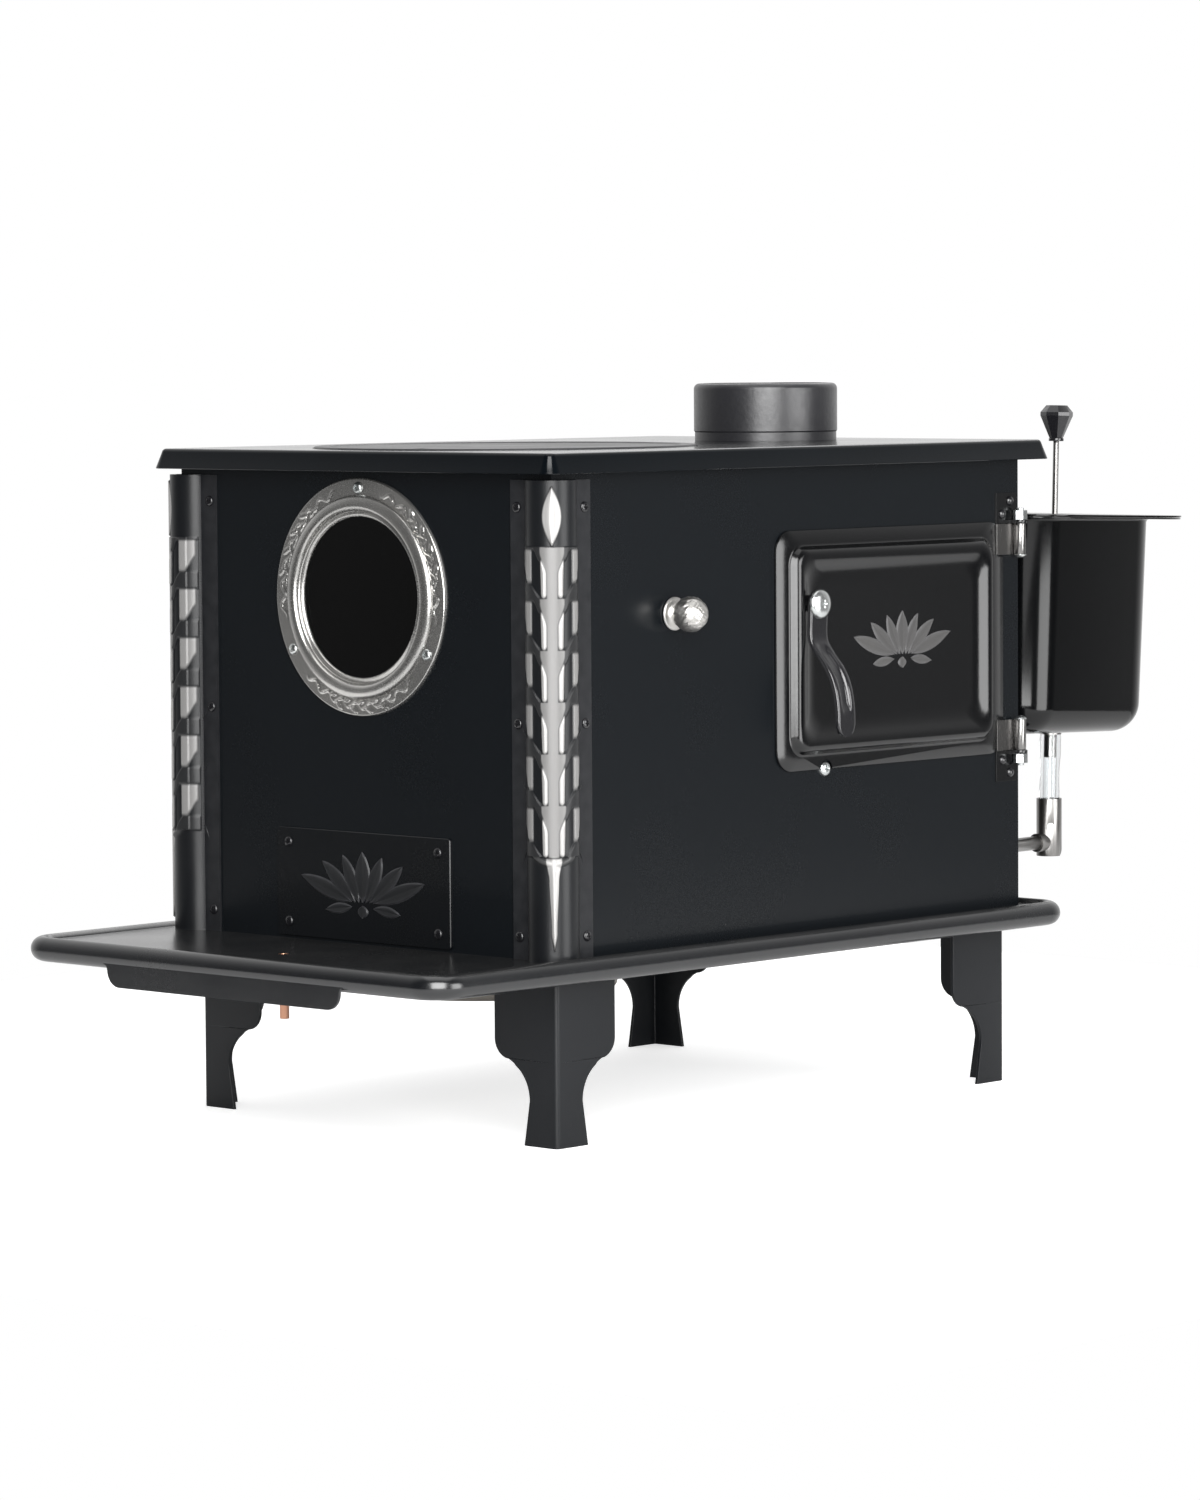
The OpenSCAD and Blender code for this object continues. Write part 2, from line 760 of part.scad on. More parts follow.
module top_plate() placed() color("#202329") difference() {
    union() {
        translate([0, top_y, 0]) {
            translate([top_corner_r - top_w / 2, top_corner_r - top_d / 2, plate_z]) {
                cube([top_w - 2 * top_corner_r, top_d - 2 * top_corner_r, top_t]);
            }
            around(top_w, top_d, top_corner_r) polygon(concat(
                [[-skirt_t, top_z - skirt_h], [0, top_z - skirt_h]],
                arc([-skirt_flare - top_t, top_z - top_t], top_t, 0, 90, 5),
                [[-top_corner_r, top_z], [-top_corner_r, plate_z], [-skirt_flare - skirt_t, plate_z]]
            ));
        }
        translate([0, lid_y, plate_z - top_t]) cylinder(r = lid_r + lid_gap + lid_ledge, h = top_t);
    }
    translate([0, lid_y, plate_z]) cylinder(r = lid_r + lid_gap, h = top_t + over, $fn = 128);
    translate([0, lid_y, plate_z - top_t - over]) cylinder(r = lid_r - lid_ledge, h = top_t + 2 * over, $fn = 128);
    translate([0, flue_y, plate_z - over]) cylinder(r = flue_neck_r + hole_fit, h = top_t + 2 * over);
}

module cooking_lid() placed() color("#1c1f24") difference() {
    translate([0, lid_y, plate_z + move_gap]) rotate_extrude($fn = 128) polygon([
        [0, 0], [lid_r, 0], [lid_r, lid_t - 1], [lid_r - 1, lid_t],
        [lid_r - 12, lid_t], [lid_r - 14, lid_t - 1], [0, lid_t - 1]
    ]);
    translate([-lid_slot_w / 2, lid_y - lid_r * 0.72, plate_z]) cube([lid_slot_w, 2.4 * lid_slot_w, lid_t + 2]);
}

module flue_collar() placed() color("#4a4c50") translate([0, flue_y, 0]) rotate_extrude() {
    bore_r = flue_r - flue_wall;
    seam_z = top_z + flue_seam_h;
    polygon(concat(
        [[bore_r, plate_z - top_t], [flue_r + flue_flange, plate_z - top_t], [flue_r + flue_flange, plate_z]],
        [[flue_neck_r, plate_z], [flue_neck_r, seam_z], [flue_r, seam_z + 1.5 * flue_step]],
        arc([flue_r - flue_edge_r, top_z + flue_h - flue_edge_r], flue_edge_r, 0, 90),
        [[bore_r, top_z + flue_h]]
    ));
}

module window_bezel() placed() color("#b9b6ae") difference() {
    on_front(0, window_z) rotate_extrude($fn = 128) {
        polygon(concat(
            [[crest_out_r, 0], [bezel_r, 0], [bezel_r, bezel_t - 0.8], [bezel_r - 1, bezel_t], [crest_out_r, bezel_t]],
            arc([(crest_out_r + crest_in_r) / 2, bezel_t], (crest_out_r - crest_in_r) / 2, 0, 180),
            [[window_clear_r, bezel_t - 1.4], [window_clear_r, 1], [crest_out_r, 1]]
        ));
    }
    at_bezel_bolts() cylinder(r = bezel_bolt_shank_r + hole_fit, h = bezel_t + over);
}

module window_glass() placed() color([0.25, 0.27, 0.3, 0.6]) on_front(0, window_z, 1 - glass_t) {
    cylinder(r = glass_r, h = glass_t, $fn = 96);
}

module window_gasket() placed() color("#c9c4b8") on_front(0, window_z, 1 - glass_t - gasket_t) {
    difference() {
        cylinder(r = glass_r, h = gasket_t, $fn = 96);
        translate([0, 0, -over]) cylinder(r = window_clear_r + 1, h = gasket_t + 2 * over, $fn = 96);
    }
}

module window_retainer() placed() color("#5b5e63") difference() {
    on_front(0, window_z, 1 - glass_t - gasket_t - retainer_t) difference() {
        cylinder(r = bezel_r, h = retainer_t, $fn = 96);
        translate([0, 0, -over]) cylinder(r = window_clear_r + 1, h = retainer_t + 2 * over, $fn = 96);
    }
    at_bezel_bolts() translate([0, 0, -3 * sheet_t]) cylinder(r = bezel_bolt_shank_r + hole_fit, h = 3 * sheet_t);
}

module window_bolts() placed() color("#c6c8ca") at_bezel_bolts() {
    translate([0, 0, -sheet_t - retainer_t - 5]) {
        cylinder(r = bezel_bolt_shank_r, h = bezel_t + sheet_t + retainer_t + 5);
    }
    translate([0, 0, bezel_t]) dome(5, 3);
    translate([0, 0, 1 - glass_t - gasket_t - retainer_t - 4]) {
        hex_nut(4.6, 4, bezel_bolt_shank_r + thread_fit);
    }
}

module cover_plate() placed() color("#1f2127") difference() {
    union() {
        on_front(0, cover_z) slab(cover_w, cover_h, 3, cover_t);
        on_front(0, cover_z - cover_h * 0.14, cover_t) palmette(cover_h * 0.46);
    }
    at_cover_screws() screw_holes();
}

module cover_screws() placed() color("#151515") at_cover_screws() {
    translate([0, 0, -sheet_t - 2]) cylinder(r = screw_r, h = sheet_t + cover_t + 2);
    translate([0, 0, cover_t]) dome(screw_head_r, screw_head_h);
}

module door_shell() placed() color("#191b20") on_right(door_y, door_z, door_lift) {
    crest_w = bead_w - 2 * bead_slope;
    crest_h_all = bead_d - 2 * bead_slope;
    difference() {
        slab(door_w, door_h, door_corner_r, door_t);
        translate([0, 0, -over]) slab(bead_w, bead_d, bead_corner_r, door_t + 2 * over);
        translate([spindle_y - door_y + stop_bolt_back, -door_h / 2, -over]) {
            cylinder(r = stop_bolt_r + 4 * move_gap, h = door_t + 2 * over);
        }
    }
    around(bead_w, bead_d, bead_corner_r) {
        polygon([[0, 0], [0, door_t], [-bead_slope, door_t + bead_h], [-bead_slope, bead_h]]);
    }
    translate([0, 0, bead_h]) difference() {
        slab(crest_w, crest_h_all, bead_corner_r - bead_slope, door_t);
        translate([0, 0, -over]) {
            inner_r = recess_corner_r + recess_slope;
            slab(crest_w - 2 * bead_crest, crest_h_all - 2 * bead_crest, inner_r, door_t + 2 * over);
        }
    }
    difference() {
        union() {
            around(recess_w, recess_h, recess_corner_r) {
                polygon([
                    [0, recess_lift], [0, recess_lift + door_t],
                    [recess_slope, door_t + bead_h], [recess_slope, bead_h]
                ]);
            }
            translate([0, 0, recess_lift]) slab(recess_w, recess_h, recess_corner_r, door_t);
            translate([spindle_y - door_y, spindle_z - door_z, recess_lift]) {
                cylinder(r = boss_r, h = boss_h - recess_lift);
            }
        }
        translate([spindle_y - door_y, spindle_z - door_z, -over]) {
            cylinder(r = spindle_r + running_fit, h = boss_h + 2 * over);
        }
    }
    translate([palmette_spot[0], palmette_spot[1], recess_lift + door_t]) palmette(palmette_h);
}

module door_liner() placed() color("#3a3c40") on_right(door_y, door_z, door_lift + recess_lift - liner_t) {
    slab(recess_w - 10, recess_h - 8, recess_corner_r - 4, liner_t);
}

module door_rope_seal() placed() color("#d8d2c4") on_right(door_y, door_z, move_gap) {
    around(bead_w - 2 * rope_inset, bead_d - 2 * rope_inset, 8) translate([0, rope_r]) circle(rope_r, $fn = 24);
}

module door_hinge_leaves() placed() color("#9a9da1") {
    for (z = [upper_barrel_z, lower_barrel_z]) {
        difference() {
            union() {
                translate([hinge_x, hinge_y, z]) cylinder(r = barrel_r, h = barrel_h);
                translate([half_w + door_lift + door_t, hinge_y - door_edge_gap - 10, z]) {
                    cube([hinge_plate_t, door_edge_gap + 10, barrel_h]);
                }
            }
            translate([hinge_x, hinge_y, z - over]) cylinder(r = hinge_bolt_r + running_fit, h = barrel_h + 2 * over);
        }
    }
}

// Places a bracket at each hinge with its lug at z = 0 and its plate rising away from the barrel
module at_hinges() {
    translate([hinge_x, hinge_y, upper_barrel_z + barrel_h + move_gap]) children();
    translate([hinge_x, hinge_y, lower_barrel_z - move_gap]) mirror([0, 0, 1]) children();
}

module hinge_brackets() placed() color("#9a9da1") difference() {
    at_hinges() {
        translate([-hinge_out, -bracket_arm, 0]) cube([hinge_out, bracket_arm_w, lug_t]);
        cylinder(r = bracket_lug_r, h = lug_t);
        translate([-hinge_out, -bracket_plate_reach, 0]) cube([hinge_plate_t, bracket_plate_w, bracket_plate_h]);
    }
    at_hinges() translate([0, 0, -over]) cylinder(r = hinge_bolt_r + hole_fit / 2, h = lug_t + 2 * over);
    at_bracket_rivets() cylinder(r = screw_r + hole_fit, h = hinge_plate_t + over);
}

module at_bracket_rivets() {
    for (spot = rivet_spots) {
        on_right(hinge_y + spot[0], upper_barrel_z + barrel_h + move_gap + spot[1]) children();
        on_right(hinge_y + spot[0], lower_barrel_z - move_gap - spot[1]) children();
    }
}

module bracket_rivets() placed() color("#c6c8ca") at_bracket_rivets() {
    translate([0, 0, -sheet_t]) cylinder(r = screw_r, h = sheet_t + hinge_plate_t);
    translate([0, 0, hinge_plate_t]) dome(rivet_head_r, rivet_head_h);
}

module hinge_bolts() placed() color("#c6c8ca") at_hinges() {
    drop = barrel_h + 2 * move_gap;
    translate([0, 0, -drop]) cylinder(r = hinge_bolt_r, h = drop + lug_t + hinge_nut_h + 2);
    translate([0, 0, -drop]) mirror([0, 0, 1]) dome(barrel_r + 0.8, hinge_head_h);
}

module hinge_nuts() placed() color("#c6c8ca") at_hinges() {
    translate([0, 0, lug_t]) rotate(30) hex_nut(hinge_nut_r, hinge_nut_h, hinge_bolt_r + thread_fit);
}

// Strip with an S bend seen from the front: the list gives [outwards, down] along its inner face
module door_handle() placed() color("#15161a") {
    face = [for (p = handle_line) [p[0] * handle_bend, p[1]]];
    difference() {
        intersection() {
            translate([handle_x, spindle_y + handle_w / 2, spindle_z]) rotate([90, 0, 0]) linear_extrude(handle_w) {
                polygon(concat(
                    [for (p = face) [p[0], -p[1]]],
                    [for (i = [len(face) - 1:-1:0]) [face[i][0] + handle_t, -face[i][1]]]
                ));
            }
            translate([handle_x - over, spindle_y, spindle_z]) rotate([90, 0, 90]) {
                linear_extrude(handle_bend + handle_t + 2 * over) {
                    circle(handle_w / 2);
                    translate([-handle_w / 2, handle_w / 2 - handle_drop]) {
                        square([handle_w, handle_drop - handle_w / 2]);
                    }
                    translate([0, handle_w / 2 - handle_drop]) circle(handle_w / 2);
                }
            }
        }
        translate([handle_x - over, spindle_y, spindle_z]) rotate([0, 90, 0]) {
            cylinder(r = spindle_r + thread_fit, h = handle_t + 2 * over);
        }
    }
}

module handle_bolt() placed() color("#c6c8ca") {
    shank_l = handle_t + boss_h + spindle_tail;
    translate([handle_x + handle_t, spindle_y, spindle_z]) rotate([0, 90, 0]) {
        translate([0, 0, -shank_l]) cylinder(r = spindle_r, h = shank_l);
        dome(spindle_head_r, spindle_head_h);
    }
}

module latch_tongue() placed() color("#6c6f74") {
    difference() {
        translate([inner_x - tongue_in - tongue_t, spindle_y, spindle_z]) rotate([90, 0, 90]) linear_extrude(tongue_t) {
            circle(tongue_w / 2);
            translate([-tongue_w / 2, tongue_w / 2 - tongue_l]) square([tongue_w, tongue_l - tongue_w / 2]);
            translate([0, tongue_w / 2 - tongue_l]) circle(tongue_w / 2);
        }
        translate([inner_x - tongue_in - tongue_t - over, spindle_y, spindle_z]) rotate([0, 90, 0]) {
            cylinder(r = spindle_r + thread_fit, h = tongue_t + 2 * over);
        }
    }
}

module latch_nut() placed() color("#8e9298") {
    translate([inner_x - tongue_in - tongue_t - bolt_nut_h, spindle_y, spindle_z]) rotate([0, 90, 0]) {
        hex_nut(bolt_head_r, bolt_nut_h, spindle_r + thread_fit);
    }
}

module latch_keeper() placed() color("#6c6f74") {
    edge_y = door_y - opening_w / 2 - keeper_back;
    translate([inner_x - keeper_t, edge_y - keeper_w, spindle_z - keeper_h / 2]) cube([keeper_t, keeper_w, keeper_h]);
}

module at_stop_bolt() {
    on_right(spindle_y + stop_bolt_back, door_z - door_h / 2) children();
}

module door_stop_bolt() placed() color("#c6c8ca") at_stop_bolt() {
    translate([0, 0, -sheet_t - 4]) cylinder(r = screw_r + 1, h = sheet_t + 4);
    dome(stop_bolt_r, 4);
}

module draught_knob() placed() color("#a8a49a") on_right(burner_y, draught_z, move_gap) difference() {
    union() {
        rotate_extrude() polygon(concat(
            [[0, 0], [knob_base_r, 0], [knob_base_r, 1.6]],
            arc([knob_base_r - 0.4, 8.4], knob_base_r - knob_neck_r - 0.4, -90, -180),
            [[knob_neck_r, knob_neck_h + 2], [0, knob_neck_h + 2]]
        ));
        translate([0, 0, ball_out]) sphere(ball_r);
    }
    translate([0, 0, -over]) cylinder(r = draught_rod_r + thread_fit, h = 11);
}

module draught_rod() placed() color("#8e9298") on_right(burner_y, draught_z, move_gap) {
    translate([0, 0, -draught_rod_l - 2 * slide_t]) cylinder(r = draught_rod_r, h = draught_rod_l + 2 * slide_t + 9);
}

// Plate under the rod with an upright lug that the rod's end is riveted in
module draught_slide() placed() color("#4c4e52") difference() {
    on_right(burner_y, draught_z, move_gap - draught_rod_l) {
        translate([-slide_w / 2, -draught_rod_r - slide_t, -slide_l / 2]) cube([slide_w, slide_t, slide_l]);
        translate([-slide_lug_w / 2, -draught_rod_r, -slide_t]) cube([slide_lug_w, 2 * draught_rod_r + 4, slide_t]);
    }
    on_right(burner_y, draught_z, move_gap - draught_rod_l - 4 * slide_t) {
        cylinder(r = draught_rod_r + thread_fit, h = 8 * slide_t);
    }
}

// Long bush for the draught rod inside the right panel, with the two rails that carry the slide
module draught_guide() placed() color("#5b5e63") {
    on_right(burner_y, draught_z, -sheet_t - draught_guide_l) difference() {
        cylinder(r = draught_rod_r + 4, h = draught_guide_l);
        translate([0, 0, -over]) cylinder(r = draught_rod_r + running_fit, h = draught_guide_l + 2 * over);
    }
    low = -draught_rod_r - slide_t - move_gap - rail_t;
    on_right(burner_y, draught_z, -sheet_t - rail_l) for (side = [0, 1]) mirror([side, 0, 0]) {
        translate([slide_w / 2 + move_gap, low, 0]) cube([rail_t, 6 * rail_t, rail_l]);
        translate([slide_w / 2 + move_gap - rail_lip, low, 0]) cube([rail_lip, rail_t, rail_l]);
    }
}

module burner_pot() placed() color("#cbbfa6") difference() {
    translate([0, burner_y, 0]) rotate_extrude($fn = 96) polygon(concat(
        [[0, pot_bottom_z]],
        arc([pot_r - pot_edge_r, pot_bottom_z + pot_edge_r], pot_edge_r, -90, 0),
        [[pot_r, tray_z], [pot_r + pot_flange, tray_z], [pot_r + pot_flange, tray_z + 3], [pot_r, tray_z + 3]],
        [[pot_r, pot_top_z], [pot_r - pot_wall, pot_top_z]],
        arc([pot_r - pot_edge_r, pot_bottom_z + pot_edge_r], pot_edge_r - pot_wall, 0, -90),
        [[0, pot_bottom_z + pot_wall]]
    ));
    translate([0, burner_y, pot_top_z - 12]) for (i = [0:air_holes - 1]) {
        rotate([0, 90, (i + 0.5) * 360 / air_holes]) cylinder(r = air_hole_r, h = pot_r + over, $fn = 24);
    }
    translate([0, burner_y, pipe_z]) rotate([0, 90, 0]) cylinder(r = pipe_r + hole_fit, h = pot_r + over);
}

module burner_ring() placed() color("#77736b") translate([0, burner_y, pot_top_z]) rotate_extrude($fn = 96) {
    inside_r = pot_r - pot_wall - hole_fit;
    polygon([
        [ring_in_r, 0], [inside_r - 3, 0], [inside_r - 3, -7], [inside_r, -7], [inside_r, 0],
        [pot_r + 3, 0], [pot_r + 3, ring_t], [ring_in_r, ring_t]
    ]);
}

module baffle_plate() placed() color("#3f4145") {
    translate([-inner_x + 3, rear_y - sheet_t - baffle_l - 1, baffle_z]) cube([2 * inner_x - 6, baffle_l, 3]);
}

module baffle_rails() placed() color("#3f4145") for (side = [-1, 1]) {
    low_y = rear_y - sheet_t - baffle_l - 1;
    translate([side > 0 ? inner_x - rail_leg : -inner_x, low_y, baffle_z - 3]) cube([rail_leg, baffle_l, 3]);
    translate([side > 0 ? inner_x - 3 : -inner_x, low_y, baffle_z - rail_leg]) cube([3, baffle_l, rail_leg - 3]);
}

module pipe_section() {
    difference() {
        circle(pipe_r);
        circle(pipe_r - pipe_wall);
    }
}

module feed_pipe() placed() color("#a9aaa8") {
    turn_y = burner_y + pipe_bend_r;
    mouth = pot_r - pot_wall - 4;
    translate([outlet_x, outlet_y - 3, pipe_z]) rotate([90, 0, 0]) {
        linear_extrude(outlet_y - 3 - turn_y) pipe_section();
    }
    translate([outlet_x - pipe_bend_r, turn_y, pipe_z]) rotate(-90) rotate_extrude(angle = 90) {
        translate([pipe_bend_r, 0]) pipe_section();
    }
    translate([outlet_x - pipe_bend_r, burner_y, pipe_z]) rotate([0, -90, 0]) {
        linear_extrude(outlet_x - pipe_bend_r - mouth) pipe_section();
    }
}

module pipe_elbow() placed() color("#a9aaa8") difference() {
    branch_r = pipe_r + 2;
    foot = 12;
    socket_r = hose_r + socket_gap;
    translate([outlet_x, outlet_y, 0]) union() {
        translate([0, 0, pipe_z - foot]) cylinder(r = elbow_r, h = elbow_top_z - pipe_z + foot);
        translate([0, 0, pipe_z]) rotate([90, 0, 0]) cylinder(r = branch_r, h = 18);
    }
    translate([outlet_x, outlet_y, elbow_top_z - socket_h]) cylinder(r = socket_r, h = socket_h + over);
    translate([outlet_x, outlet_y, pipe_z]) cylinder(r = pipe_r - pipe_wall, h = elbow_top_z - pipe_z);
    translate([outlet_x, outlet_y - 3, pipe_z]) rotate([90, 0, 0]) cylinder(r = pipe_r + thread_fit, h = 20);
    translate([outlet_x, outlet_y, pipe_z]) rotate([90, 0, 0]) cylinder(r = pipe_r - pipe_wall, h = 10);
    translate([outlet_x, outlet_y + elbow_r, pipe_z - foot]) rotate([45, 0, 0]) cube([4 * elbow_r, 14, 14], center = true);
    at_elbow_screw() {
        cylinder(r = elbow_screw_head_r + hole_fit, h = elbow_r);
        translate([0, 0, -elbow_screw_l - over]) cylinder(r = elbow_screw_r + thread_fit, h = elbow_screw_l + 2 * over);
    }
}

// Places the plug screw of the elbow on its seat
module at_elbow_screw() {
    translate([outlet_x, outlet_y, pipe_z + 14]) rotate([0, 90, -45]) {
        translate([0, 0, elbow_r - elbow_seat]) children();
    }
}

module elbow_screw() placed() color("#d0d2d4") at_elbow_screw() {
    cylinder(r = elbow_screw_head_r, h = 2.2, $fn = 24);
    translate([0, 0, -elbow_screw_l]) cylinder(r = elbow_screw_r, h = elbow_screw_l);
}

module fuel_hose() placed() color([0.85, 0.88, 0.9, 0.5]) {
    on_tank(outlet_x, outlet_local_y, -tank_h) difference() {
        bottom = elbow_top_z - socket_h + 1 - tank_rim_z + tank_h + outlet_local_y * sin(tank_tilt);
        translate([0, 0, bottom]) cylinder(r = hose_r, h = -outlet_collar_h - bottom);
        translate([0, 0, bottom - over]) {
            cylinder(r = hose_r - hose_wall, h = -outlet_collar_h - bottom + 2 * over);
        }
    }
}

function tank_wall(inset) = concat(
    [[-inset, 0]],
    arc([-tank_taper - tank_bottom_r, tank_bottom_r - tank_h], tank_bottom_r - inset, 0, -90)
);

module fuel_tank() placed() color("#15171b") difference() {
    on_tank(tank_x, tank_front + tank_d / 2) {
        around(tank_w, tank_d, tank_corner_r) {
            polygon(concat(tank_wall(0), [for (i = [9:-1:0]) tank_wall(tank_t)[i]]));
            translate([-tank_t, -tank_t]) square([tank_flange_w + tank_t, tank_t]);
        }
        edge = tank_taper + tank_bottom_r;
        translate([0, 0, -tank_h]) slab(tank_w - 2 * edge, tank_d - 2 * edge, tank_corner_r - edge, tank_t);
    }
    translate([0, rear_y + move_gap - 50, tank_rim_z]) cube([2 * body_w, 100, 100], center = true);
    on_tank(outlet_x, outlet_local_y, -tank_h - over) {
        cylinder(r = outlet_thread_r + hole_fit, h = tank_t + 2 * over);
    }
    at_tank_screws() translate([0, 0, -20]) cylinder(r = screw_r + hole_fit, h = 20 + over);
}

module tank_lid() placed() color("#1a1c20") difference() {
    on_tank(tank_x, tank_front + tank_d / 2 + 4, move_gap) {
        slab(tank_w + 2 * tank_flange_w - 2 * lid_margin, tank_d + tank_flange_w, tank_corner_r, lid_sheet_t);
    }
    on_tank(outlet_x - slot_w / 2, -50, -over) cube([slot_w, 50 + outlet_local_y + slot_spare, 4]);
}

module at_hanger_screws() {
    for (x = [-1, 1]) {
        translate([tank_x + x * tank_w / 4, rear_y, hanger_top_z - hanger_drop / 2 - hanger_t]) {
            rotate([-90, 0, 0]) children();
        }
    }
}

module at_tank_screws() {
    for (x = [-1, 1]) on_tank(tank_x + x * tank_w / 8, tank_front / 2 + 1) children();
}

// Angle on the rear panel that carries the tank's front rim
module tank_hanger() placed() color("#2a2c30") difference() {
    long = tank_w - 2 * tank_corner_r;
    translate([tank_x - long / 2, rear_y, hanger_top_z - hanger_drop]) {
        cube([long, hanger_t, hanger_drop]);
        translate([0, 0, hanger_drop - hanger_t]) cube([long, tank_front - hanger_gap, hanger_t]);
    }
    at_tank_screws() translate([0, 0, -20]) cylinder(r = screw_r + hole_fit, h = 30);
    at_hanger_screws() cylinder(r = screw_r + 1 + hole_fit, h = hanger_t + over);
}

module tank_screws() placed() color("#8e9298") {
    at_tank_screws() {
        grip = tank_rim_z - hanger_top_z + hanger_t;
        translate([0, 0, -grip - 4]) cylinder(r = screw_r, h = grip + 4);
        translate([0, 0, -grip]) mirror([0, 0, 1]) hex_nut(4, 3, screw_r + thread_fit);
    }
    at_hanger_screws() {
        translate([0, 0, -sheet_t - 4]) cylinder(r = screw_r + 1, h = sheet_t + hanger_t + 4);
        translate([0, 0, hanger_t]) dome(5.5, 3);
    }
}

// Fitting pushed up through the tank's floor: its barb holds the hose and its bore seats the valve
module tank_outlet() placed() color("#b9a26a") on_tank(outlet_x, outlet_local_y, -tank_h) difference() {
    union() {
        translate([0, 0, -outlet_collar_h]) cylinder(r = outlet_collar_r, h = outlet_collar_h);
        cylinder(r = outlet_thread_r, h = tank_t + seat_h);
        translate([0, 0, -outlet_collar_h - barb_l]) cylinder(r = barb_r, h = barb_l);
    }
    translate([0, 0, tank_t + 2]) cylinder(r = plug_r + running_fit, h = seat_h);
    translate([0, 0, -outlet_collar_h - barb_l - over]) cylinder(r = 3, h = barb_l + outlet_collar_h + tank_t + 4);
    translate([0, 0, inlet_z]) rotate([0, 90, 0]) cylinder(r = 2.5, h = outlet_thread_r + over, $fn = 24);
}

module outlet_nut() placed() color("#b9b6ae") on_tank(outlet_x, outlet_local_y, tank_t - tank_h) {
    hex_nut(nut_r, nut_h, outlet_thread_r + thread_fit);
}

module valve_rod() placed() color("#b4b6b8") on_tank(outlet_x, outlet_local_y, -tank_h) {
    floor_z = tank_t + 2 + move_gap;
    difference() {
        translate([0, 0, floor_z]) cylinder(r = plug_r, h = seat_h - 2);
        translate([0, 0, inlet_z]) rotate([0, 90, 0]) cylinder(r = 2.4, h = plug_r + over, $fn = 24);
        translate([0, 0, floor_z - over]) cylinder(r = 2.9, h = inlet_z - floor_z + over, $fn = 24);
    }
    translate([0, 0, floor_z + seat_h - 2]) cylinder(r = rod_r, h = tank_h + knob_rise - floor_z - seat_h + 2 + 12);
}

module valve_knob() placed() color("#121316") on_tank(outlet_x, outlet_local_y, knob_rise) difference() {
    facets = 8;
    union() {
        cylinder(r = 6.5, h = 2.4, $fn = 32);
        rotate_extrude($fn = facets) polygon([
            [0, 1], [5.2, 1], [knob_r, knob_h - 9], [knob_r, knob_h - 6], [knob_r - 5, knob_h], [0, knob_h]
        ]);
    }
    translate([0, 0, -over]) cylinder(r = rod_r + thread_fit, h = 12 + over);
}

hearth_tray();
tray_apron();
drain_pipe();
leg_front_left();
leg_front_right();
leg_rear_left();
leg_rear_right();
leg_bolts();
leg_nuts();
front_panel();
left_panel();
right_panel();
rear_panel();
column_left();
column_right();
column_screws();
top_plate();
cooking_lid();
flue_collar();
window_bezel();
window_glass();
window_gasket();
window_retainer();
window_bolts();
cover_plate();
cover_screws();
door_shell();
door_liner();
door_rope_seal();
door_hinge_leaves();
hinge_brackets();
hinge_bolts();
hinge_nuts();
bracket_rivets();
door_handle();
handle_bolt();
latch_tongue();
latch_nut();
latch_keeper();
door_stop_bolt();
draught_knob();
draught_rod();
draught_slide();
draught_guide();
burner_pot();
burner_ring();
baffle_plate();
baffle_rails();
feed_pipe();
pipe_elbow();
elbow_screw();
fuel_hose();
fuel_tank();
tank_lid();
tank_hanger();
tank_screws();
tank_outlet();
outlet_nut();
valve_rod();
valve_knob();
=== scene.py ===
"""Looks of a sheet-steel drip-burner stove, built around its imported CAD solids.

Sizes are millimetres in the stove's own frame: the origin lies on the floor under the middle of
the body, x runs out of the fire door's side, y to the fuel tank and z up.
"""

import logging
import math
from collections.abc import Callable, Sequence
from dataclasses import dataclass, field
from enum import Enum

import bmesh
import bpy
from mathutils import Matrix, Vector
from mathutils.geometry import tessellate_polygon

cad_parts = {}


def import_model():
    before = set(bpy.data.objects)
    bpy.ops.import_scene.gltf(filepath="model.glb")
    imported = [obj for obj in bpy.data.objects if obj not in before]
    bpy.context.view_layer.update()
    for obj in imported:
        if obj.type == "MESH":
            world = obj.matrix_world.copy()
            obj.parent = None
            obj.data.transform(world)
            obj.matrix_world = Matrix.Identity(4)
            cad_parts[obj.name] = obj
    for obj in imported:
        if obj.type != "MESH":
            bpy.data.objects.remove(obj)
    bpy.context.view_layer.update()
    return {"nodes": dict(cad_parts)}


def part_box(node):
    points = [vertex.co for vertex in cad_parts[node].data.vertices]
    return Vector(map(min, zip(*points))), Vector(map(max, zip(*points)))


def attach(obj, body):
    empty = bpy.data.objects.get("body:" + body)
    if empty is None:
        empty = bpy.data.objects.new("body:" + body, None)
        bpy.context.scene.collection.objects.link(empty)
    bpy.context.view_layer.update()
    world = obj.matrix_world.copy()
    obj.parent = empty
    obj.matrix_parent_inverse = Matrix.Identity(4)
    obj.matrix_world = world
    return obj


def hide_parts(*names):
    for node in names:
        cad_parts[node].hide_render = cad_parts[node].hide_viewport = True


LOG = logging.getLogger("stove")
MM = 0.001
TRAY_MIDDLE = (0.0, -62.0)

Colour = tuple[float, float, float]
Pair = tuple[float, float]
Relief = Callable[[float, float], float]


class Body(Enum):
    """Bodies of the stove that pieces ride on."""

    STOVE = "stove"
    DOOR = "door"
    LATCH = "latch"
    PULL = "draught_pull"


class Slot(Enum):
    """Material slots of the part's record."""

    BODY = "body_enamel"
    DOOR = "door_enamel"
    TRAY = "tray_paint"
    LEG = "leg_paint"
    COVER = "cover_enamel"
    BLACK_SCREW = "black_screws"
    ZINC = "zinc"
    BEZEL = "bezel_steel"
    HANDLE = "handle_black"
    BALL = "ball_metal"
    HOSE = "hose"


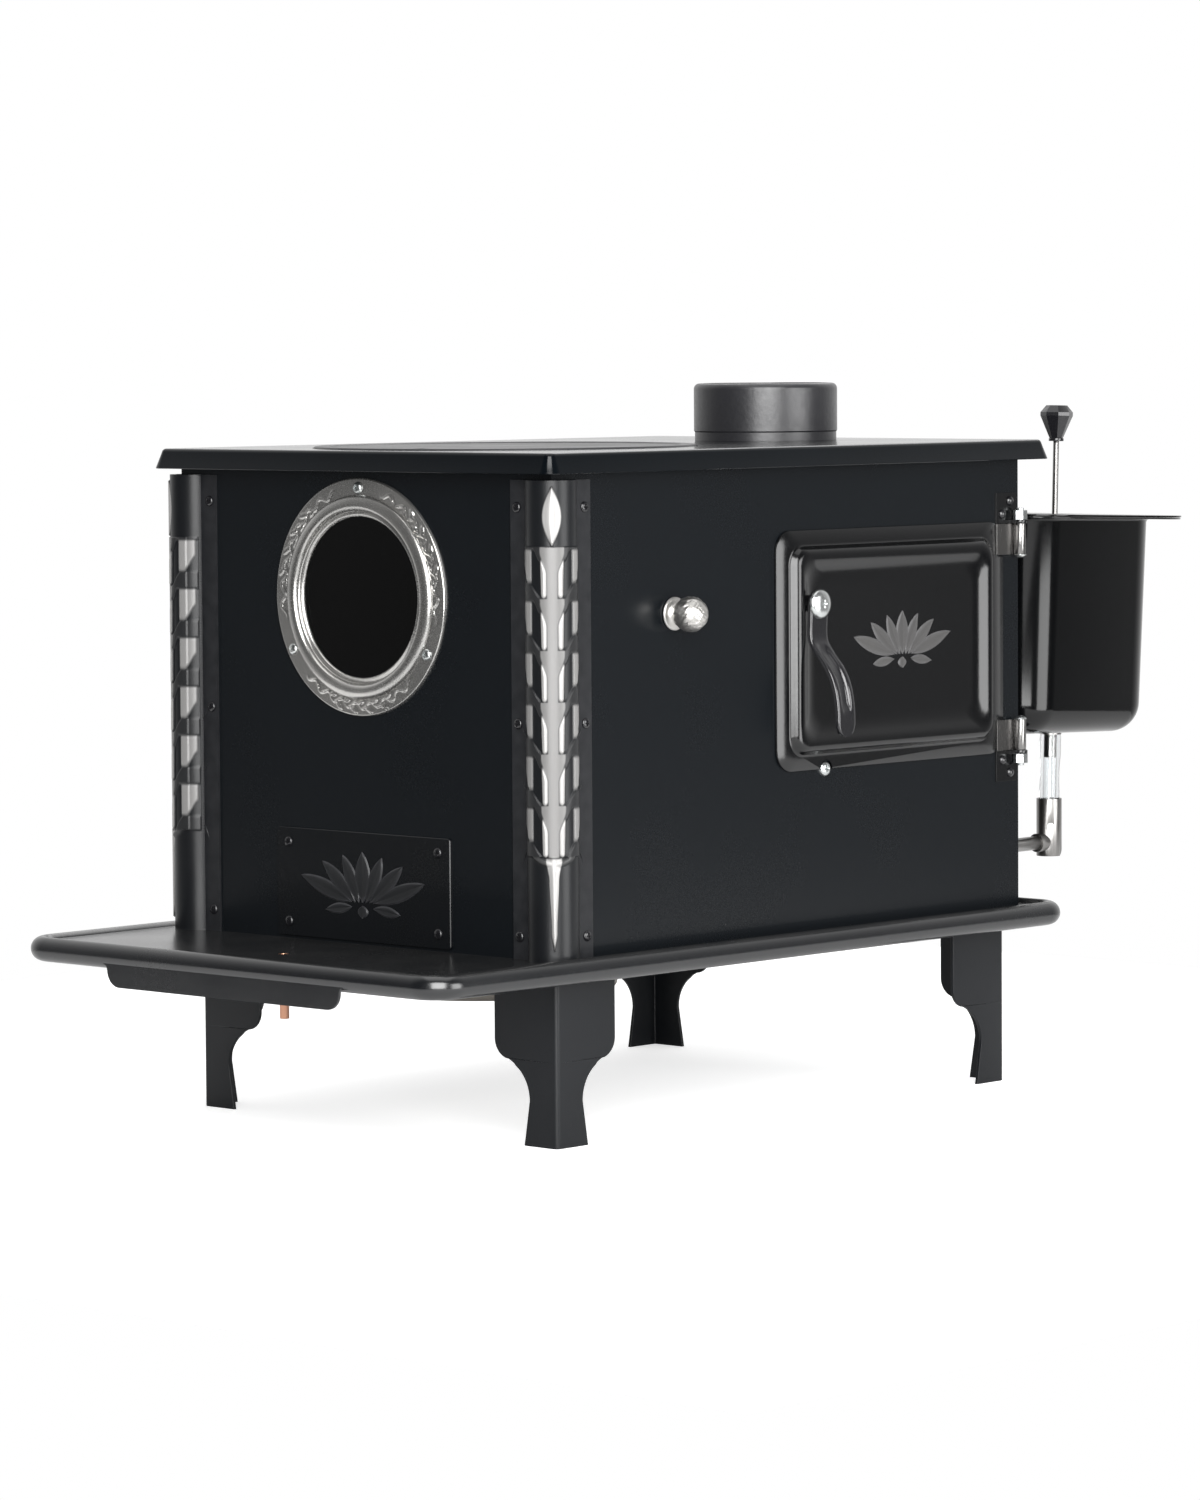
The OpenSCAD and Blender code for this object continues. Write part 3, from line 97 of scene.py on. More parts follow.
class Side(Enum):
    """The two hands of a mirrored piece."""

    LEFT = -1
    RIGHT = 1


@dataclass(frozen=True)
class Finish:
    """A paint, plating or bare metal, as its maker would describe it.

    The grain is a fine noise of so many waves to the metre, and stretch pulls it out along the
    brushing. Wear lightens the edges and dust lies on what faces up. The rubbed colour is the
    silvering wiped over raised ornament, where the form says how much; on the blade's curled arms
    it is a painted highlight.
    """

    name: str
    colour: Colour
    drift: Colour
    rough: Pair
    metallic: float = 0.0
    specular: float = 0.5
    grain: float = 700.0
    stretch: Colour = (1.0, 1.0, 1.0)
    bump: float = 0.05
    wear: float = 0.0
    worn: Colour = (0.3, 0.3, 0.3)
    dust: float = 0.0
    rubbed_and_sheen: Colour | None = None


BODY_ENAMEL = Finish(
    "body_enamel", (0.0022, 0.0031, 0.0041), (0.0018, 0.0026, 0.0036), (0.25, 0.28), specular=0.30,
    grain=420.0, bump=0.015, dust=0.02,
)
TOP_ENAMEL = Finish(
    "top_enamel", (0.0015, 0.0023, 0.0032), (0.0012, 0.0019, 0.0027), (0.13, 0.18), specular=0.24,
    grain=420.0, bump=0.015, dust=0.02,
)
GLOSS_ENAMEL = Finish(
    "gloss_enamel", (0.0017, 0.0018, 0.0021), (0.0013, 0.0014, 0.0017), (0.15, 0.22), specular=0.50,
    grain=300.0, bump=0.02, dust=0.02,
)
TANK_ENAMEL = Finish(
    "tank_enamel", (0.0014, 0.0015, 0.0017), (0.0011, 0.0012, 0.0014), (0.10, 0.15), specular=0.34,
    grain=300.0, bump=0.02, dust=0.02,
)
COLUMN_ENAMEL = Finish(
    "column_enamel", (0.0046, 0.0051, 0.0060), (0.0036, 0.0041, 0.0050), (0.32, 0.40), specular=0.28,
    grain=600.0, bump=0.03, wear=0.2, worn=(0.06, 0.06, 0.065), rubbed_and_sheen=(0.27, 0.265, 0.26),
)
TRAY_PAINT = Finish(
    "tray_paint", (0.0030, 0.0034, 0.0042), (0.0023, 0.0027, 0.0035), (0.20, 0.28), specular=0.72,
    grain=380.0, bump=0.05, dust=0.05,
)
LEG_PAINT = Finish(
    "leg_paint", (0.0042, 0.0049, 0.0062), (0.0032, 0.0039, 0.0050), (0.34, 0.46), specular=0.26,
    grain=520.0, bump=0.05,
)
COVER_ENAMEL = Finish(
    "cover_enamel", (0.0022, 0.0027, 0.0034), (0.0017, 0.0021, 0.0027), (0.20, 0.30), specular=0.36,
    grain=420.0, bump=0.03,
)
LEAF_GREY = Finish(
    "leaf_grey", (0.048, 0.047, 0.046), (0.040, 0.039, 0.039), (0.42, 0.55), specular=0.30,
    grain=900.0, bump=0.06, wear=0.4, worn=(0.20, 0.20, 0.21),
)
COVER_LEAF = Finish(
    "cover_leaf", (0.0105, 0.011, 0.012), (0.0080, 0.0084, 0.0092), (0.34, 0.48), specular=0.34,
    grain=900.0, bump=0.06, wear=0.4, worn=(0.10, 0.10, 0.11),
)
COLLAR_IRON = Finish(
    "collar_iron", (0.017, 0.017, 0.019), (0.012, 0.012, 0.014), (0.28, 0.42), specular=0.62,
    grain=260.0, bump=0.22,
)
LID_IRON = Finish(
    "lid_iron", (0.018, 0.018, 0.020), (0.012, 0.012, 0.014), (0.36, 0.5), specular=0.4,
    grain=300.0, bump=0.16, dust=0.03,
)
BLACK_SCREW = Finish(
    "black_screw", (0.006, 0.006, 0.007), (0.004, 0.004, 0.005), (0.14, 0.26), specular=0.6,
    grain=1500.0, bump=0.03,
)
ZINC = Finish(
    "zinc", (0.62, 0.63, 0.62), (0.48, 0.50, 0.50), (0.18, 0.32), metallic=1.0,
    grain=1300.0, bump=0.06, wear=0.3, worn=(0.8, 0.8, 0.8),
)
HINGE_STEEL = Finish(
    "hinge_steel", (0.20, 0.195, 0.19), (0.13, 0.13, 0.13), (0.20, 0.34), metallic=1.0,
    grain=1300.0, stretch=(1.0, 1.0, 0.08), bump=0.08, wear=0.4, worn=(0.6, 0.6, 0.58),
)
BEZEL_STEEL = Finish(
    "bezel_steel", (0.56, 0.55, 0.53), (0.38, 0.375, 0.365), (0.18, 0.30), metallic=0.94,
    grain=900.0, bump=0.10, wear=0.5, worn=(0.80, 0.79, 0.77),
)
INNER_STEEL = Finish(
    "inner_steel", (0.15, 0.15, 0.155), (0.08, 0.08, 0.085), (0.36, 0.55), metallic=0.8,
    grain=500.0, stretch=(1.0, 0.15, 1.0), bump=0.10, wear=0.3,
)
ROPE_SEAL = Finish(
    "rope_seal", (0.62, 0.58, 0.50), (0.46, 0.43, 0.37), (0.8, 0.95), specular=0.2,
    grain=420.0, bump=0.8,
)
HANDLE_BLACK = Finish(
    "handle_black", (0.0085, 0.0085, 0.0095), (0.006, 0.006, 0.007), (0.14, 0.24), specular=0.6,
    grain=700.0, bump=0.04,
)
BALL_METAL = Finish(
    "ball_metal", (0.52, 0.51, 0.49), (0.24, 0.235, 0.23), (0.30, 0.44), metallic=1.0,
    grain=900.0, bump=0.30, wear=0.7, worn=(0.85, 0.83, 0.80),
)
POT_STEEL = Finish(
    "pot_steel", (0.22, 0.205, 0.185), (0.15, 0.138, 0.122), (0.38, 0.55), metallic=0.6,
    grain=420.0, bump=0.14, wear=0.2,
)
PIPE_STEEL = Finish(
    "pipe_steel", (0.30, 0.295, 0.285), (0.20, 0.195, 0.19), (0.22, 0.36), metallic=1.0,
    grain=900.0, stretch=(1.0, 1.0, 0.12), bump=0.10, wear=0.3, worn=(0.7, 0.7, 0.68),
)
COPPER = Finish(
    "copper", (0.62, 0.34, 0.22), (0.42, 0.22, 0.15), (0.22, 0.38), metallic=1.0, grain=700.0, bump=0.08,
)


def add_node(tree: bpy.types.NodeTree, kind: str, inputs: dict[str | int, object],
             **settings: object) -> bpy.types.Node:
    """Adds a shader node to a tree.

    Args:
        tree: the tree.
        kind: the node's type, without its first word.
        inputs: what goes into it by name or place, sockets or plain values.
        settings: its own settings by name.

    Returns:
        The node.
    """
    node = tree.nodes.new(f"ShaderNode{kind}")
    for name, value in settings.items():
        setattr(node, name, value)
    for key, value in inputs.items():
        if isinstance(value, bpy.types.NodeSocket):
            tree.links.new(value, node.inputs[key])
        else:
            node.inputs[key].default_value = value
    return node


def math_node(tree: bpy.types.NodeTree, operation: str, *values: object,
              clamp: bool = False) -> bpy.types.NodeSocket:
    """Reckons with sockets or numbers in a Math node.

    Args:
        tree: the tree that takes the node.
        operation: what it does.
        values: what goes into it, in order.
        clamp: whether its result stays between 0 and 1.

    Returns:
        The result.
    """
    return add_node(tree, "Math", dict(enumerate(values)), operation=operation, use_clamp=clamp).outputs[0]


def start_material(name: str) -> tuple[bpy.types.Material, bpy.types.NodeTree, bpy.types.Node]:
    """Starts a material and gives it with its tree and its shader."""
    material = bpy.data.materials.new(name)
    material.use_nodes = True
    return material, material.node_tree, material.node_tree.nodes["Principled BSDF"]


class Effects:
    """Surface effects that the finishes share, each a shader node group that is built once."""

    def __init__(self) -> None:
        """Builds the three groups."""
        self.grain = self._grain()
        self.wear = self._wear()
        self.dust = self._dust()

    def _start(self, name: str, inputs: Sequence[tuple], outputs: Sequence[str]) -> tuple:
        """Starts a group.

        Args:
            name: the group's name.
            inputs: rows of (name, kind, default), where the default may be None.
            outputs: the names of its numbers.

        Returns:
            The group, what its input node gives and what its output node takes.
        """
        tree = bpy.data.node_groups.new(name, "ShaderNodeTree")
        for label, kind, value in inputs:
            socket = tree.interface.new_socket(name=label, in_out="INPUT", socket_type=f"NodeSocket{kind}")
            if value is not None:
                socket.default_value = value
        for label in outputs:
            tree.interface.new_socket(name=label, in_out="OUTPUT", socket_type="NodeSocketFloat")
        return tree, tree.nodes.new("NodeGroupInput").outputs, tree.nodes.new("NodeGroupOutput").inputs

    def _noise(self, tree: bpy.types.NodeTree, vector: bpy.types.NodeSocket, scale: object,
               detail: float) -> bpy.types.NodeSocket:
        """Gives a noise.

        Args:
            tree: the group.
            vector: the coordinates that it follows.
            scale: how fine it is, a socket or a number.
            detail: how many finer layers it has.

        Returns:
            The noise's value.
        """
        return add_node(tree, "TexNoise", {"Vector": vector, "Scale": scale, "Detail": detail}).outputs["Fac"]

    def _grain(self) -> bpy.types.NodeTree:
        """Makes the fine grain: a roughness that varies, a height for the bump and a slow drift."""
        tree, given, out = self._start(
            "paint_grain",
            [("Vector", "Vector", None), ("Stretch", "Vector", (1, 1, 1)), ("Scale", "Float", 500.0),
             ("Low", "Float", 0.3), ("High", "Float", 0.4)],
            ["Roughness", "Height", "Drift"],
        )
        pull = add_node(
            tree, "VectorMath", {0: given["Vector"], 1: given["Stretch"]}, operation="MULTIPLY"
        ).outputs[0]
        fine = self._noise(tree, pull, given["Scale"], 5.0)
        slow = self._noise(tree, pull, 9.0, 3.0)
        both = math_node(tree, "MULTIPLY_ADD", slow, 0.6, math_node(tree, "MULTIPLY", fine, 0.4))
        spread = add_node(tree, "MapRange", {
            "Value": both, "From Min": 0.35, "From Max": 0.65,
            "To Min": given["Low"], "To Max": given["High"],
        })
        drift = add_node(tree, "MapRange", {"Value": slow, "From Min": 0.38, "From Max": 0.62})
        tree.links.new(spread.outputs[0], out["Roughness"])
        tree.links.new(fine, out["Height"])
        tree.links.new(drift.outputs[0], out["Drift"])
        return tree

    def _wear(self) -> bpy.types.NodeTree:
        """Makes the mask of rubbed edges, from how sharply the surface turns."""
        tree, given, out = self._start(
            "edge_wear", [("Vector", "Vector", None), ("Amount", "Float", 0.3)], ["Mask"]
        )
        turned = add_node(tree, "NewGeometry", {}).outputs["Pointiness"]
        edge = add_node(tree, "MapRange", {"Value": turned, "From Min": 0.53, "From Max": 0.60}).outputs[0]
        patch = self._noise(tree, given["Vector"], 120.0, 2.0)
        broken = math_node(tree, "MULTIPLY", edge, patch)
        tree.links.new(math_node(tree, "MULTIPLY", broken, given["Amount"], clamp=True), out["Mask"])
        return tree

    def _dust(self) -> bpy.types.NodeTree:
        """Makes the mask of the thin dust on what faces up."""
        tree, given, out = self._start(
            "dust_film", [("Vector", "Vector", None), ("Amount", "Float", 0.1)], ["Mask"]
        )
        facing = add_node(tree, "SeparateXYZ", {0: add_node(tree, "NewGeometry", {}).outputs["Normal"]})
        up = add_node(tree, "MapRange", {"Value": facing.outputs["Z"], "From Min": 0.6}).outputs[0]
        patch = self._noise(tree, given["Vector"], 30.0, 6.0)
        spots = math_node(tree, "MULTIPLY", up, patch)
        tree.links.new(math_node(tree, "MULTIPLY", spots, given["Amount"], clamp=True), out["Mask"])
        return tree


class PaintShop:
    """Mixes each finish into a material once and hands it out."""

    DUST_COLOUR = (0.30, 0.29, 0.27)
    SILVER_AND_SHEEN_METALLIC = 0.28
    BUMP_DEPTH = 0.0006
    GLASS_IOR = 1.45

    def __init__(self) -> None:
        """Builds the shared effects."""
        self.effects = Effects()
        self.made: dict[str, bpy.types.Material] = {}

    def _effect(self, tree: bpy.types.NodeTree, group: bpy.types.NodeTree,
                **values: object) -> bpy.types.NodeOutputs:
        """Places one of the groups in a material.

        Args:
            tree: the material's tree.
            group: the effect.
            values: its inputs by name.

        Returns:
            What the group's node gives.
        """
        return add_node(tree, "Group", values, node_tree=group).outputs

    def _blend(self, tree: bpy.types.NodeTree, mask: bpy.types.NodeSocket, base: object,
               over: Sequence[float]) -> bpy.types.NodeSocket:
        """Lays one colour over another through a mask.

        Args:
            tree: the material's tree.
            mask: where the second colour shows.
            base: the first colour, a socket or numbers.
            over: the second colour.

        Returns:
            The mixed colour.
        """
        under = base if isinstance(base, bpy.types.NodeSocket) else (*base, 1.0)
        return add_node(tree, "Mix", {0: mask, 6: under, 7: (*over, 1.0)}, data_type="RGBA").outputs[2]

    def finish(self, wanted: Finish) -> bpy.types.Material:
        """Gives the material of a finish.

        Args:
            wanted: the finish.

        Returns:
            Its material, the same one each time.
        """
        if wanted.name in self.made:
            return self.made[wanted.name]
        material, tree, shader = start_material(wanted.name)
        link, settings = tree.links.new, shader.inputs
        place = add_node(tree, "TexCoord", {}).outputs["Object"]
        grain = self._effect(
            tree, self.effects.grain, Vector=place, Stretch=wanted.stretch, Scale=wanted.grain,
            Low=wanted.rough[0], High=wanted.rough[1],
        )
        colour = self._blend(tree, grain["Drift"], wanted.colour, wanted.drift)
        if wanted.wear:
            worn = self._effect(tree, self.effects.wear, Vector=place, Amount=wanted.wear)
            colour = self._blend(tree, worn["Mask"], colour, wanted.worn)
        # The rubbed mask is silvering on raised ornament, and a painted highlight on the blade's curled arms.
        if wanted.rubbed_and_sheen:
            silver_and_sheen = add_node(tree, "Attribute", {}, attribute_name="rubbed_and_sheen").outputs["Fac"]
            colour = self._blend(tree, silver_and_sheen, colour, wanted.rubbed_and_sheen)
            link(math_node(tree, "MULTIPLY", silver_and_sheen, self.SILVER_AND_SHEEN_METALLIC), settings["Metallic"])
        else:
            settings["Metallic"].default_value = wanted.metallic
        if wanted.dust:
            dust = self._effect(tree, self.effects.dust, Vector=place, Amount=wanted.dust)
            colour = self._blend(tree, dust["Mask"], colour, self.DUST_COLOUR)
        bump = add_node(tree, "Bump", {
            "Strength": wanted.bump, "Distance": self.BUMP_DEPTH, "Height": grain["Height"],
        })
        link(colour, settings["Base Color"])
        link(grain["Roughness"], settings["Roughness"])
        link(bump.outputs["Normal"], settings["Normal"])
        settings["Specular IOR Level"].default_value = wanted.specular
        self.made[wanted.name] = material
        return material

    def clear(self, name: str, tint: Colour, rough: Pair, level: float) -> bpy.types.Material:
        """Mixes a clear material, for the window or the hose.

        Args:
            name: the material's name.
            tint: what colour it lets through.
            rough: its lowest and highest roughness.
            level: how strongly it mirrors.

        Returns:
            The material.
        """
        material, tree, shader = start_material(name)
        place = add_node(tree, "TexCoord", {}).outputs["Object"]
        grain = self._effect(
            tree, self.effects.grain, Vector=place, Scale=60.0, Low=rough[0], High=rough[1],
        )
        colour = self._blend(tree, grain["Drift"], tint, [0.92 * c for c in tint])
        tree.links.new(colour, shader.inputs["Base Color"])
        tree.links.new(grain["Roughness"], shader.inputs["Roughness"])
        shader.inputs["Transmission Weight"].default_value = 1.0
        shader.inputs["IOR"].default_value = self.GLASS_IOR
        shader.inputs["Specular IOR Level"].default_value = level
        return material


def circle(radius: float, steps: int, x: float = 0.0, y: float = 0.0) -> list[Pair]:
    """Gives the points of a circle in plan."""
    turn = 2 * math.pi / steps
    return [(x + radius * math.cos(i * turn), y + radius * math.sin(i * turn)) for i in range(steps)]


def round_rect(width: float, depth: float, radius: float, steps: int = 12) -> list[Pair]:
    """Gives the points of a rounded rectangle about the origin.

    Args:
        width: its size along the first axis.
        depth: its size along the second axis.
        radius: the radius of its corners.
        steps: how many edges each corner has.

    Returns:
        The points, anticlockwise.
    """
    points = []
    for corner, (sx, sy) in enumerate(((1, 1), (-1, 1), (-1, -1), (1, -1))):
        for i in range(steps + 1):
            angle = math.pi / 2 * (corner + i / steps)
            points.append((
                sx * (width / 2 - radius) + radius * math.cos(angle),
                sy * (depth / 2 - radius) + radius * math.sin(angle),
            ))
    return points


def arc(x: float, y: float, radius: float, start: float, end: float, steps: int = 8) -> list[Pair]:
    """Gives the points of an arc, its angles in degrees."""
    angles = [math.radians(start + (end - start) * i / steps) for i in range(steps + 1)]
    return [(x + radius * math.cos(a), y + radius * math.sin(a)) for a in angles]


def smooth(low: float, high: float, value: float) -> float:
    """Rises softly from 0 at low to 1 at high."""
    t = min(1.0, max(0.0, (value - low) / (high - low)))
    return t * t * (3 - 2 * t)


def curve_through(knots: Sequence[Pair], steps: int) -> list[Pair]:
    """Draws a smooth line through knots.

    Args:
        knots: the points that it passes.
        steps: how many edges it has between two of them.

    Returns:
        The line's points.
    """
    line = []
    ends = [knots[0], *knots, knots[-1]]
    for i in range(len(knots) - 1):
        p0, p1, p2, p3 = (Vector(k) for k in ends[i:i + 4])
        for j in range(steps):
            t = j / steps
            p = 0.5 * (2 * p1 + (p2 - p0) * t + (2 * p0 - 5 * p1 + 4 * p2 - p3) * t ** 2
                       + (3 * p1 - p0 - 3 * p2 + p3) * t ** 3)
            line.append((p.x, p.y))
    return [*line, tuple(knots[-1])]


@dataclass
class Form:
    """The surface of one piece while it is being made, in millimetres."""

    points: list[Vector] = field(default_factory=list)
    faces: list[tuple[int, ...]] = field(default_factory=list)
    rubbed_and_sheen: dict[int, float] = field(default_factory=dict)

    def net(self, rows: Sequence[Sequence[Vector]], ring: bool = True, first: bool = False,
            last: bool = False, loop: bool = False, rubbed_and_sheen: Sequence[Sequence[float]] = ()) -> None:
        """Joins rows of points into a net.

        Args:
            rows: the rows, with as many points each.
            ring: whether each row closes on itself.
            first: whether the first row is filled.
            last: whether the last row is filled.
            loop: whether the last row joins the first.
            rubbed_and_sheen: how much silvering lies on the first points of each row, if any; on a
            column blade's curled arms it is a painted highlight.
        """
        start, wide = len(self.points), len(rows[0])
        for i, shares in enumerate(rubbed_and_sheen):
            self.rubbed_and_sheen.update((start + i * wide + j, share) for j, share in enumerate(shares))
        for row in rows:
            self.points.extend(Vector(p) for p in row)
        for i in range(len(rows) if loop else len(rows) - 1):
            a, b = start + i * wide, start + (i + 1) % len(rows) * wide
            for j in range(wide if ring else wide - 1):
                k = (j + 1) % wide
                self.faces.append((a + j, a + k, b + k, b + j))
        if first:
            self.faces.append(tuple(range(start + wide - 1, start - 1, -1)))
        if last:
            end = start + (len(rows) - 1) * wide
            self.faces.append(tuple(range(end, end + wide)))

    def lathe(self, profile: Sequence[Pair], place: Matrix, steps: int = 64, closed: bool = False,
              relief: Relief | None = None) -> None:
        """Turns a profile of (radius, height) about the place's z axis.

        Args:
            profile: the points of the profile, from its foot to its top.
            place: where the axis stands.
            steps: how many edges a turn has.
            closed: whether the profile is a ring that joins its own end.
            relief: how far the surface stands out by (turn in radians, profile step).
        """
        rows = []
        for n, (radius, height) in enumerate(profile):
            row = []
            for j in range(steps):
                angle = 2 * math.pi * j / steps
                top = height + (relief(angle, n) if relief else 0.0)
                row.append(place @ Vector((radius * math.cos(angle), radius * math.sin(angle), top)))
            rows.append(row)
        self.net(rows, first=not closed, last=not closed, loop=closed)

    def rim(self, profile: Sequence[Pair], size: tuple[float, float, float], place: Matrix,
            steps: int = 12, first: bool = False, last: bool = False) -> None:
        """Sweeps a profile of (outwards, up) round a rounded rectangle.

        Args:
            profile: the profile's points.
            size: the rectangle's width, depth and corner radius.
            place: where its middle stands.
            steps: how many edges each corner has.
            first: whether the first ring is filled.
            last: whether the last ring is filled.
        """
        width, depth, radius = size
        rows = [
            [place @ Vector((x, y, up)) for x, y in
             round_rect(width + 2 * out, depth + 2 * out, max(0.0, radius + out), steps)]
            for out, up in profile
        ]
        self.net(rows, first=first, last=last)

    def prism(self, outline: Sequence[Pair], low: float, high: float, place: Matrix) -> None:
        """Raises an outline from low to high."""
        rows = [[place @ Vector((x, y, z)) for x, y in outline] for z in (low, high)]
        self.net(rows, first=True, last=True)

    def plate(self, outline: Sequence[Pair], holes: Sequence[Sequence[Pair]], low: float, high: float,
              place: Matrix, edge: bool = True) -> None:
        """Makes a plate with holes.

        Args:
            outline: its outer edge.
            holes: the edges of its holes.
            low: the height of its underside.
            high: the height of its top.
            place: where it lies.
            edge: whether its outer edge has a wall, or meets another surface.
        """
        loops = [list(outline), *[list(h) for h in holes]]
        flat = [p for loop in loops for p in loop]
        start, count = len(self.points), len(flat)
        for z in (low, high):
            self.points.extend(place @ Vector((x, y, z)) for x, y in flat)
        for a, b, c in tessellate_polygon([[Vector((x, y, 0)) for x, y in loop] for loop in loops]):
            self.faces.append((start + a, start + b, start + c))
            self.faces.append((start + count + c, start + count + b, start + count + a))
        at = start
        for n, loop in enumerate(loops):
            if edge or n:
                for j in range(len(loop)):
                    k = (j + 1) % len(loop)
                    self.faces.append((at + j, at + k, at + k + count, at + j + count))
            at += len(loop)

    def leaf(self, length: float, width: float, height: float, place: Matrix) -> None:
        """Lays a flat pressed leaf with sloped edges and a shallow vein.

        Args:
            length: from its foot to its tip.
            width: across its widest part.
            height: how far it stands out.
            place: where its foot lies.
        """
        steps, tip, sunk, vein = 16, 0.02, -0.4, 0.12
        rows = []
        for i in range(steps + 1):
            t = i / steps
            half = width / 2 * math.sin(math.pi * t) ** 0.75 if 0 < i < steps else tip
            slope = min(1.3, 0.5 * half)
            rising = [(-half, sunk), (-half, 0.0), (slope - half, height), (-vein * half, 0.93 * height)]
            profile = [*rising, (0.0, 0.78 * height), *[(-x, z) for x, z in reversed(rising)]]
            rows.append([place @ Vector((x, length * t, z)) for x, z in profile])
        self.net(rows, first=True, last=True)

    def screw_head(self, radius: float, height: float, place: Matrix, cross: float = 0.0) -> None:
        """Makes a domed screw head, with a cross recess if its arms have a reach.

        Args:
            radius: the head's radius.
            height: the head's height.
            place: where the head sits.
            cross: the reach of the recess's arms.
        """
        steps, rings = 48, 14
        rows = [[place @ Vector((x, y, -0.2)) for x, y in circle(radius, steps)]]
        for i in range(rings + 1):
            share = 1 - i / rings
            row = []
            for x, y in circle(max(0.001, radius * share), steps):
                z = height * math.sqrt(max(0.0, 1 - share ** 2.4))
                if cross:
                    arm = 0.17 * cross
                    across, along = min(abs(x), abs(y)), max(abs(x), abs(y))
                    z -= 0.55 * cross * smooth(arm + 0.25, arm, across) * smooth(cross, 0.75 * cross, along)
                row.append(place @ Vector((x, y, z)))
            rows.append(row)
        self.net(rows, first=True, last=True)


@dataclass
class Bench:
    """Where pieces are made and fitted to the frame."""

    nodes: dict[str, bpy.types.Object]
    paint: PaintShop
    shift: Vector

    def build(self, name: str, form: Form, finish: Finish | bpy.types.Material, body: Body, slot: Slot,
              stands_for: Sequence[str] = (), edge: float = 0.0, sharp: float = 35.0) -> bpy.types.Object:
        """Turns a form into a piece of the stove.

        Args:
            name: the piece's name.
            form: its surface.
            finish: its finish, or a material.
            body: the body that it rides on.
            slot: the record's slot that it takes its finish from; not used.
            stands_for: the CAD nodes that it is shown instead of.
            edge: the width of the bevel on its sharp edges.
            sharp: the angle over which an edge stays sharp, in degrees.

        Returns:
            The piece.
        """
        mesh = bpy.data.meshes.new(name)
        mesh.from_pydata([tuple((p + self.shift) * MM) for p in form.points], [], form.faces)
        if form.rubbed_and_sheen:
            silver_and_sheen = mesh.attributes.new("rubbed_and_sheen", "FLOAT", "POINT")
            silver_and_sheen.data.foreach_set("value", [form.rubbed_and_sheen.get(i, 0.0) for i in range(len(form.points))])
        work = bmesh.new()
        work.from_mesh(mesh)
        bmesh.ops.remove_doubles(work, verts=work.verts, dist=2e-6)
        bmesh.ops.dissolve_degenerate(work, edges=work.edges, dist=1e-6)
        bmesh.ops.recalc_face_normals(work, faces=work.faces)
        for face in work.faces:
            face.smooth = True
        for line in work.edges:
            line.smooth = line.is_manifold and line.calc_face_angle(0.0) < math.radians(sharp)
        work.to_mesh(mesh)
        work.free()
        piece = bpy.data.objects.new(name, mesh)
        bpy.context.scene.collection.objects.link(piece)
        mesh.materials.append(self.paint.finish(finish) if isinstance(finish, Finish) else finish)
        if edge:
            self._bevel(piece, edge, sharp)
        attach(piece, body.value)
        if stands_for:
            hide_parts(*stands_for)
        LOG.info("%s: %d faces, finish %s", name, len(mesh.polygons), mesh.materials[0].name)
        return piece

    def _bevel(self, piece: bpy.types.Object, width: float, sharp: float) -> None:
        """Rounds the sharp edges of a piece by so many millimetres."""
        bevel = piece.modifiers.new("edge", "BEVEL")
        bevel.width = width * MM
        bevel.segments = 2
        bevel.limit_method = "ANGLE"
        bevel.angle_limit = math.radians(sharp)
        bevel.harden_normals = True

    def dress(self, finish: Finish | bpy.types.Material, nodes: Sequence[str], edge: float = 0.0) -> None:
        """Gives CAD nodes that are shown as they are a finish.

        Args:
            finish: the finish, or a material.
            nodes: the nodes' names.
            edge: the width of the bevel on their sharp edges.
        """
        material = self.paint.finish(finish) if isinstance(finish, Finish) else finish
        for name in nodes:
            node = self.nodes[name]
            node.data.materials.clear()
            node.data.materials.append(material)
            if edge:
                weld = node.modifiers.new("weld", "WELD")
                weld.merge_threshold = 2e-6
                flat = node.modifiers.new("flat", "DECIMATE")
                flat.decimate_type = "DISSOLVE"
                flat.angle_limit = math.radians(0.4)
                self._bevel(node, edge, 40.0)
            LOG.info("%s: CAD node in %s", name, material.name)


@dataclass
class Places:
    """Where things stand on the stove: the faces of its body and the tank's hanger."""

    half_w: float = 211.0
    front_y: float = -289.0
    tray_z: float = 150.0
    plate_z: float = 545.0
    hang: Vector = field(default_factory=lambda: Vector((0.0, 290.0, 484.0)))
    tilt: float = 1.9

    def at(self, x: float, y: float, z: float) -> Matrix:
        """Stands a shape upright at a point."""
        return Matrix.Translation((x, y, z))

    def front(self, x: float, z: float, out: float = 0.0) -> Matrix:
        """Lays a shape on the front panel, its z out of the stove."""
        turn = Matrix(((1, 0, 0), (0, 0, -1), (0, 1, 0))).to_4x4()
        return Matrix.Translation((x, self.front_y - out, z)) @ turn

    def right(self, y: float, z: float, out: float = 0.0) -> Matrix:
        """Lays a shape on the right panel, its z out of the stove."""
        turn = Matrix(((0, 0, 1), (1, 0, 0), (0, 1, 0))).to_4x4()
        return Matrix.Translation((self.half_w + out, y, z)) @ turn

    def left(self, y: float, z: float, out: float = 0.0) -> Matrix:
        """Lays a shape on the left panel, its z out of the stove."""
        turn = Matrix(((0, 0, -1), (-1, 0, 0), (0, 1, 0))).to_4x4()
        return Matrix.Translation((-self.half_w - out, y, z)) @ turn

    def tank(self, x: float = 0.0, y: float = 0.0, z: float = 0.0) -> Matrix:
        """Hangs a shape on the tank's hanger, its z up from the rim."""
        turn = Matrix.Rotation(math.radians(-self.tilt), 4, "X")
        return Matrix.Translation(self.hang) @ turn @ Matrix.Translation((x, y, z))


